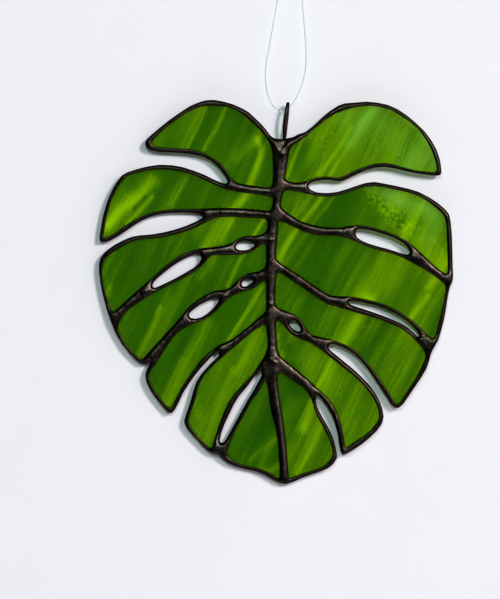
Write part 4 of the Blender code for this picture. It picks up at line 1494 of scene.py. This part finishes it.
# Streaks that show in the sheet, as strokes: path, half width and light.
STROKES = tuple(Stroke(*mark) for mark in (
    (((204, 104), (195, 126), (184, 148)), 5.0, 0.20),
    (((207, 106), (199, 126), (188, 148)), 1.3, 0.18),
    (((226, 107), (216, 128), (204, 150)), 2.6, 0.40),
    (((238, 112), (236, 135), (226, 160)), 8.0, -0.10),
    (((190, 112), (172, 130), (155, 145)), 12.0, 0.10),
    (((258, 139), (261, 149), (259, 160), (255, 173), (249, 187)), 3.4, 0.36),
    (((269, 150), (268, 165), (262, 182)), 5.0, -0.10),
    (((256, 142), (246, 150), (236, 160)), 4.0, 0.12),
    (((260, 131), (248, 142), (238, 154), (230, 168)), 6.0, 0.16),
    (((153, 181), (139, 196), (124, 209), (108, 226)), 6.5, 0.38),
    (((128, 198), (116, 212), (106, 230)), 8.0, 0.22),
    (((152, 197), (140, 211), (127, 224)), 2.2, 0.35),
    (((146, 196), (134, 209)), 1.6, -0.3),
    (((187, 178), (179, 191), (170, 205)), 2.5, 0.16),
    (((205, 170), (200, 190), (190, 205)), 8.0, -0.08),
    (((249, 192), (241, 201), (233, 209)), 4.5, 0.42),
    (((227, 219), (217, 235), (205, 252)), 7.0, 0.30),
    (((233, 217), (227, 229), (221, 242)), 2.2, 0.2),
    (((206, 222), (197, 234)), 5.0, 0.12),
    (((265, 218), (258, 229), (251, 240)), 2.2, 0.38),
    (((140, 240), (130, 260), (122, 285)), 14.0, -0.08),
    (((110, 288), (108, 296)), 4.0, 0.2),
    (((245, 250), (237, 267), (228, 286)), 2.6, 0.34),
    (((216, 254), (209, 267), (201, 279)), 3.0, 0.22),
    (((187, 270), (177, 290), (168, 306)), 7.0, 0.05),
    (((246, 276), (236, 284)), 7.0, -0.14),
    (((160, 308), (155, 322), (147, 338), (138, 356)), 3.2, 0.28),
    (((168, 295), (160, 325), (146, 355)), 8.0, 0.14),
    (((262, 287), (247, 312), (228, 340)), 2.2, 0.36),
    (((266, 300), (252, 322), (238, 340)), 7.0, 0.14),
    (((210, 312), (198, 335), (186, 352)), 8.0, -0.14),
    (((208, 322), (198, 340), (186, 358), (175, 380), (166, 402)), 6.0, 0.30),
    (((160, 365), (155, 380)), 6.0, -0.1),
    (((260, 335), (248, 355), (236, 372)), 5.0, 0.14),
    (((232, 370), (220, 400), (206, 440)), 3.0, 0.12),
    (((194, 400), (197, 415)), 6.0, 0.10),
    (((238, 395), (228, 420), (216, 442)), 5.0, -0.12),
    (((275, 440), (262, 450), (250, 460)), 3.0, 0.16),
    (((278, 400), (268, 420), (250, 445)), 8.0, -0.08),
    (((279, 465), (272, 470), (262, 474)), 4.0, 0.3),
    (((303, 138), (295, 156), (287, 177)), 1.8, 0.34),
    (((327, 118), (312, 145), (300, 172)), 9.0, 0.06),
    (((372, 107), (353, 140), (330, 176)), 1.8, 0.16),
    (((352, 127), (338, 150), (318, 175)), 2.0, 0.22),
    (((304, 146), (299, 174)), 9.0, -0.24),
    (((325, 194), (314, 208), (302, 223)), 2.6, 0.36),
    (((300, 196), (292, 210), (285, 222)), 9.0, 0.16),
    (((313, 193), (304, 206), (294, 218)), 3.0, 0.14),
    (((335, 195), (324, 210), (312, 225)), 1.5, 0.18),
    (((352, 200), (345, 212), (332, 224)), 12.0, -0.10),
    (((376, 191), (381, 200), (386, 208)), 8.0, 0.10),
    (((408, 196), (405, 218), (418, 240), (436, 262)), 20.0, 0.30),
    (((432, 205), (442, 230), (446, 250)), 11.0, 0.12),
    (((424, 203), (412, 222), (402, 238)), 3.0, 0.18),
    (((298, 227), (288, 243), (278, 261)), 3.4, 0.36),
    (((309, 231), (297, 246), (284, 265)), 3.0, 0.16),
    (((318, 236), (305, 255), (292, 272)), 1.6, 0.10),
    (((335, 235), (325, 258), (310, 285)), 12.0, -0.10),
    (((388, 250), (375, 276), (356, 302)), 7.0, 0.32),
    (((402, 259), (391, 280), (376, 300)), 8.0, 0.26),
    (((440, 268), (428, 292), (410, 325)), 15.0, 0.20),
    (((428, 296), (416, 312), (404, 326)), 3.0, 0.26),
    (((436, 278), (428, 288)), 3.0, 0.26),
    (((348, 246), (340, 262), (325, 285)), 4.0, 0.06),
    (((367, 300), (354, 323), (339, 346)), 7.5, 0.37),
    (((310, 285), (305, 300), (296, 318)), 10.0, -0.05),
    (((390, 322), (378, 338), (366, 352)), 7.0, -0.14),
    (((418, 340), (406, 366), (392, 394)), 15.0, 0.14),
    (((303, 338), (296, 350), (290, 362)), 6.0, -0.16),
    (((280, 318), (283, 332), (286, 348)), 6.0, -0.26),
    (((338, 345), (326, 372), (316, 390)), 2.4, 0.30),
    (((352, 366), (342, 388), (332, 408)), 9.0, -0.12),
    (((372, 390), (360, 415), (344, 440)), 11.0, -0.16),
    (((352, 425), (350, 445)), 5.0, 0.04),
    (((292, 372), (298, 390)), 8.0, -0.22),
    (((314, 398), (309, 412), (303, 428)), 5.0, 0.34),
    (((322, 422), (310, 449), (297, 474)), 4.8, 0.36),
    (((290, 430), (286, 455)), 5.0, 0.08),
))
# Where a painted sheen of reflected soft light lies on the glass.
PAINTED_SHEEN = tuple(Stroke(*mark) for mark in (
    (((377, 105), (363, 122), (349, 144)), 6.0, 0.48),
    (((372, 118), (392, 134), (412, 148)), 18.0, 0.20),
    (((350, 108), (345, 118)), 8.0, 0.25),
    (((404, 112), (420, 128), (431, 150), (435, 168)), 6.0, 0.30),
    (((420, 160), (408, 166)), 9.0, 0.40),
    (((370, 189), (384, 193), (396, 198)), 6.0, 0.24),
    (((392, 197), (412, 204), (434, 212)), 9.0, 0.44),
    (((438, 222), (430, 240)), 8.0, 0.30),
))
# Where painted glints of that reflection fleck the glass.
PAINTED_GLINTS = tuple(Stroke(*mark) for mark in (
    (((368, 192), (380, 205), (394, 216), (406, 228)), 8.0, 0.36),
    (((418, 225), (432, 238), (442, 252)), 7.0, 0.09),
    (((330, 125), (322, 142), (318, 160)), 9.0, 0.05),
    (((395, 125), (405, 140), (390, 155)), 12.0, 0.06),
))


@dataclass
class GlassPane:
    """One pane of streaky glass, slightly rippled, whose edge stands in its foil.

    Half is half its thickness, and the lap is how far it runs under the solder all round.
    """

    name: str
    window: Path
    finish: bpy.types.Material
    seed: int
    base: float = PLAIN_LIGHT
    half: float = 0.0015
    lap: float = 0.0007
    step: float = 0.0009
    corner: float = 0.0005
    cell: float = 0.0009
    rolled: tuple[tuple[float, float], ...] = ((0.00003, 0.0075), (0.000012, 0.0026))
    back_seed: int = 5

    def build(self) -> bpy.types.Object:
        """Builds the pane as one closed piece over its solid.

        Both faces are flat but for the rolled surface's waves, and the points carry the streaks,
        the painted sheen and the painted glint flecks for the material.

        Returns:
            The piece.
        """
        loop = offset(rounded_loop(self.window, self.step, self.corner), self.lap)
        sheet = Sheet.filled([loop], (), self.cell)
        flat, line, count = sheet.points, sheet.loops[0], len(sheet.points)
        front = -self.half - waves(flat, self.rolled, self.seed)
        back = self.half + waves(flat, self.rolled, self.seed + self.back_seed)
        points = np.vstack([np.insert(flat, 1, y, axis=1) for y in (front, back)])
        after = np.roll(line, -1)
        side = np.column_stack([line, line + count, after + count, after])
        # The streaks, and the masks of the painted sheen and the painted glints.
        marks = {label: np.tile(start + sum(mark.value(flat) for mark in drawn), 2)
                 for label, start, drawn in (("stroke", self.base, STROKES), ("painted_sheen", 0.0, PAINTED_SHEEN),
                                             ("painted_glint", 0.0, PAINTED_GLINTS))}
        faces = [sheet.triangles, sheet.triangles[:, ::-1] + count, side]
        piece = make_piece(f"pane_{self.name}", points, faces, self.finish, marks=marks)
        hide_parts(f"glass_{self.name}")
        return piece


@dataclass
class WireEye:
    """The hairpin of tinned wire that the line runs through, its feet in the solder.

    The foot, the top and the shoulder, where the legs start to part, are on the pattern. The bow
    gives half the legs' spacing at shares of the height from the shoulder to the top. The wire's
    thickness wavers over its length in lumps of the stated size.
    """

    finish: bpy.types.Material
    foot: tuple[float, float] = (284.3, 149.0)
    top: tuple[float, float] = (288.0, 103.8)
    shoulder: float = 140.5
    foot_spread: float = 0.0012
    bow: Path = ((0.0015, 0.14), (0.002132, 0.34), (0.002548, 0.56), (0.002522, 0.76),
                 (0.001612, 0.94))
    front_bend: float = 1.3
    back_bend: float = -0.325
    radius: float = 0.00085
    length: float = 0.05
    waver: float = 0.07
    lump: float = 0.0035

    def path(self) -> np.ndarray:
        """Gives the hairpin's centre line, up from the back foot and down to the front one.

        It leans from the foot to the top in a straight line above the shoulder. The legs bend
        apart by a half sine, the front one further and to the left, so that both show.

        Returns:
            The path's points.
        """
        foot, shoulder, top = (PIN[1] - y for y in (self.foot[1], self.shoulder, self.top[1]))
        spread, share = np.array(self.bow).T
        y = np.concatenate([np.full(3, self.foot_spread), spread])
        height = np.concatenate([[foot, (foot + shoulder) / 2, shoulder],
                                 shoulder + (top - shoulder) * share])
        y = np.concatenate([y, [0.0], -y[::-1]])
        height = np.concatenate([height, [top], height[::-1]])
        share = np.clip((height - shoulder) / (top - shoulder), 0.0, 1.0)
        bend = np.sin(math.pi * share) * np.where(y < 0.0, self.front_bend, self.back_bend)
        x = self.foot[0] + share * (self.top[0] - self.foot[0]) - bend - PIN[0]
        return curve_through(np.column_stack([x * UNIT, y, height * UNIT]), count=110)

    def build(self) -> bpy.types.Object:
        """Builds the eye as one closed tube whose thickness wavers where solder has tinned it.

        Returns:
            The piece.
        """
        path = self.path()
        along = np.column_stack([np.linspace(0.0, self.length, len(path)), np.zeros(len(path))])
        radius = self.radius * (1.0 + self.waver * value_noise(along, self.lump, seed=5))
        points, faces = tube(path, radius, sides=16)
        piece = make_piece("eye_wire", points, faces, self.finish)
        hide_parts("wire_eye")
        return piece


@dataclass
class HangingLine:
    """The clear line: from the knot beside the eye, up over the pin and down through the eye."""

    finish: bpy.types.Material
    radius: float = 0.00035
    knot_at: tuple[float, float] = (279.6, 110.4)
    knot_size: float = 0.00019
    knot_radius: float = 0.0003
    knot_across: float = 1.35
    knot_deep: float = 1.6

    def path(self) -> np.ndarray:
        """Gives the line's centre line in the leaf's own plane."""
        return curve_through(np.insert(to_metres(LINE_ROUTE), 1, 0.0, axis=1), count=220)

    def knot(self) -> bpy.types.Object:
        """Builds the overhand knot that joins the line's two ends.

        The knot is the curve whose place at turn t is sin t + 2 sin 2t across, cos t - 2 cos 2t
        up and -sin 3t deep, drawn out a little across and through.

        Returns:
            The piece.
        """
        centre = to_metres([self.knot_at])[0]
        t = np.linspace(0.0, 2.0 * math.pi, 90, endpoint=False)
        across, up = np.sin(t) + 2.0 * np.sin(2.0 * t), np.cos(t) - 2.0 * np.cos(2.0 * t)
        path = np.column_stack([centre[0] + across * self.knot_size * self.knot_across,
                                -np.sin(3.0 * t) * self.knot_size * self.knot_deep,
                                centre[1] + up * self.knot_size])
        radius = np.full(len(path), self.knot_radius)
        points, faces = tube(path, radius, sides=10, closed=True)
        piece = make_piece("knot_of_line", points, faces, self.finish)
        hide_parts("line_knot")
        return piece

    def build(self) -> bpy.types.Object:
        """Returns:
            The piece.
        """
        path = self.path()
        curve = bpy.data.curves.new("clear_line", "CURVE")
        curve.dimensions = "3D"
        curve.bevel_depth = self.radius
        curve.bevel_resolution = 4
        curve.use_fill_caps = True
        spline = curve.splines.new("POLY")
        spline.points.add(len(path) - 1)
        spline.points.foreach_set("co", np.insert(path, 3, 1.0, axis=1).ravel())
        spline.use_smooth = True
        curve.materials.append(self.finish)
        piece = add_object("clear_line", curve)
        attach(piece, "root")
        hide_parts("hanging_line")
        self.knot()
        return piece


@dataclass(frozen=True)
class Lamp:
    """One soft rectangular light that faces the leaf.

    It stands the distance off in metres, the way toward it from the leaf. Its size is its width
    and height in metres, and its power is in watts.
    """

    name: str
    toward: tuple[float, float, float]
    distance: float
    size: tuple[float, float]
    power: float
    colour: Colour = (1.0, 1.0, 1.0)

    def build(self, middle: Vector) -> None:
        """Puts the lamp where it faces the leaf.

        Args:
            middle: What it faces.
        """
        data = bpy.data.lights.new(self.name, "AREA")
        data.shape = "RECTANGLE"
        data.size, data.size_y = self.size
        data.energy = self.power
        data.color = self.colour
        way = Vector(self.toward).normalized()
        made = add_object(self.name, data)
        made.location = middle + way * self.distance
        made.rotation_euler = way.to_track_quat("Z", "Y").to_euler()
        made.visible_transmission = False


@dataclass
class Studio:
    """The camera, the soft light, the pale floor and the pale surface behind the leaf.

    The backdrop's net is fine near its middle and coarse beyond. Each swell is the X and Z of its
    middle, its reach and its rise.
    """

    middle: tuple[float, float] = (-0.020, -0.1889)
    lens: float = 200.0
    sensor: float = 36.0
    frame_height: float = 0.2999
    gap: float = 0.0043
    gap_slope: tuple[float, float] = (0.005, 0.003)
    level_off: float = 0.2
    swells: tuple[tuple[float, float, float, float], ...] = (
        (-0.045, -0.165, 0.044, 0.0015), (-0.020, -0.277, 0.026, 0.0012),
        (0.034, -0.193, 0.022, 0.0009))
    net_middle: tuple[float, float] = (-0.02, -0.19)
    net_half: float = 0.16
    net_lines: int = 65
    coarse_x: tuple[float, ...] = (-1.6, -0.8, -0.35, 0.35, 0.8, 1.5)
    coarse_z: tuple[float, ...] = (-0.45, 0.1, 0.5, 1.3)
    floor: float = -1.3
    floor_corners: Path = ((-1.6, -1.2), (1.6, -1.2), (1.6, 0.05), (-1.6, 0.05))
    room_colour: Colour = (0.93, 0.96, 1.0)
    room_as_light: float = 0.03
    room_as_seen: float = 0.62
    lamps: tuple[Lamp, ...] = (
        Lamp("key", (0.58, -1.0, 0.42), 4.5, (0.75, 0.85), 101.0, (1.0, 0.945, 0.975)),
        Lamp("window", (1.15, -1.0, 0.12), 4.0, (4.6, 2.4), 36.0, (1.0, 1.0, 0.96)),
        Lamp("soft_front", (-0.06, -1.0, 0.36), 3.0, (0.40, 0.40), 23.0, (0.76, 1.0, 0.96)),
        Lamp("behind", (-0.35, 1.0, 0.35), 3.0, (1.2, 1.2), 38.0))

    def camera(self) -> None:
        """Sets the camera square to the leaf, as far off as makes the frame the stated height."""
        data = bpy.data.cameras.new("camera")
        data.lens = self.lens
        data.sensor_width = self.sensor
        far = self.frame_height * self.lens / self.sensor
        made = add_object("camera", data)
        made.location = (self.middle[0], -far, self.middle[1])
        made.rotation_euler = (math.pi / 2, 0.0, 0.0)
        bpy.context.scene.camera = made

    def surface(self, name: str, points: list, faces: list, finish: PaperFinish) -> None:
        """Adds one open surface of the stage.

        Args:
            name: Its name.
            points: X, Y and Z of its points.
            faces: The numbers of each face's corners.
            finish: What it is made of.
        """
        mesh = bpy.data.meshes.new(name)
        mesh.from_pydata(points, [], faces)
        mesh.materials.append(finish.material())
        mesh.shade_smooth()
        add_object(name, mesh)

    def backdrop(self) -> None:
        """Adds the pale surface close behind the leaf, which faces the camera.

        Its distance behind the leaf's middle plane grows to the right and upwards by the slopes,
        less the swells. Each swell falls off as e to the minus square of the distance from its
        middle over its reach.
        """
        near = np.linspace(-self.net_half, self.net_half, self.net_lines)
        x = np.sort(np.concatenate([self.coarse_x, near + self.net_middle[0]]))
        z = np.sort(np.concatenate([[self.floor], self.coarse_z, near + self.net_middle[1]]))
        gx, gz = np.meshgrid(x, z)
        rise = np.clip(gz - self.middle[1], -self.level_off, self.level_off)
        gy = self.gap + self.gap_slope[0] * (gx - self.middle[0])
        gy += self.gap_slope[1] * rise
        for at_x, at_z, reach, swell in self.swells:
            gy -= swell * np.exp(-((gx - at_x) ** 2 + (gz - at_z) ** 2) / reach**2)
        i = (np.arange(len(z) - 1)[:, None] * len(x) + np.arange(len(x) - 1)).ravel()
        faces = np.column_stack([i, i + 1, i + 1 + len(x), i + len(x)])
        points = np.column_stack([gx.ravel(), gy.ravel(), gz.ravel()])
        self.surface("backdrop", points.tolist(), faces.tolist(),
                     PaperFinish("backdrop_paper", one_sided=True))

    def room(self) -> None:
        """Sets the room: dim as a light, and pale where it is looked at, also through glass."""
        world = bpy.data.worlds.new("studio")
        world.use_nodes = True
        graph = Graph(world.node_tree)
        rays = graph.add("LightPath").outputs
        seen = graph.maths("MAXIMUM", rays["Is Camera Ray"], rays["Is Transmission Ray"])
        strength = graph.ranged(seen, 0.0, 1.0, self.room_as_light, self.room_as_seen)
        light = graph.add("Background", {"Color": opaque(self.room_colour),
                                         "Strength": strength})
        graph.fill(graph.add("OutputWorld"), {"Surface": light.outputs[0]})
        bpy.context.scene.world = world

    def build(self) -> None:
        """Builds the stage and the lights, and sets how the picture is developed."""
        self.backdrop()
        self.surface("floor", [(x, y, self.floor) for x, y in self.floor_corners],
                     [(0, 1, 2, 3)], PaperFinish("floor_paper"))
        for lamp in self.lamps:
            lamp.build(Vector((self.middle[0], 0.0, self.middle[1])))
        self.room()
        bpy.context.scene.view_settings.view_transform = "Standard"
        bpy.context.scene.view_settings.look = "Medium High Contrast"


def main() -> None:
    """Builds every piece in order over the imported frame."""
    logging.basicConfig(level=logging.INFO, format="%(name)s: %(message)s")
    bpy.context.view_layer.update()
    studio = Studio()
    studio.camera()
    bloom, streaks = patina_effect(), streak_effect()
    line = HangingLine(NylonFinish().material()).build()
    LOG.info("line %s and its knot", line.name)
    beads = SolderNetwork(SOLDER_FINISH.material(bloom)).build()
    LOG.info("solder %s: %d faces", beads.name, len(beads.data.polygons))
    glass = GlassFinish().material(streaks)
    for number, (name, window) in enumerate(WINDOWS.items()):
        base = PANE_LIGHT.get(name, PLAIN_LIGHT)
        pane = GlassPane(name, window, glass, seed=100 + 10 * number, base=base).build()
        LOG.info("glass %s: %d faces", pane.name, len(pane.data.polygons))
    copper = FOIL_FINISH.material(bloom)
    for name in WINDOWS:
        bpy.data.objects[f"foil_{name}"].material_slots[0].material = copper
    LOG.info("foil round %d panes", len(WINDOWS))
    eye = WireEye(WIRE_FINISH.material(bloom)).build()
    LOG.info("eye %s", eye.name)
    studio.build()


if __name__ == "__main__":
    main()
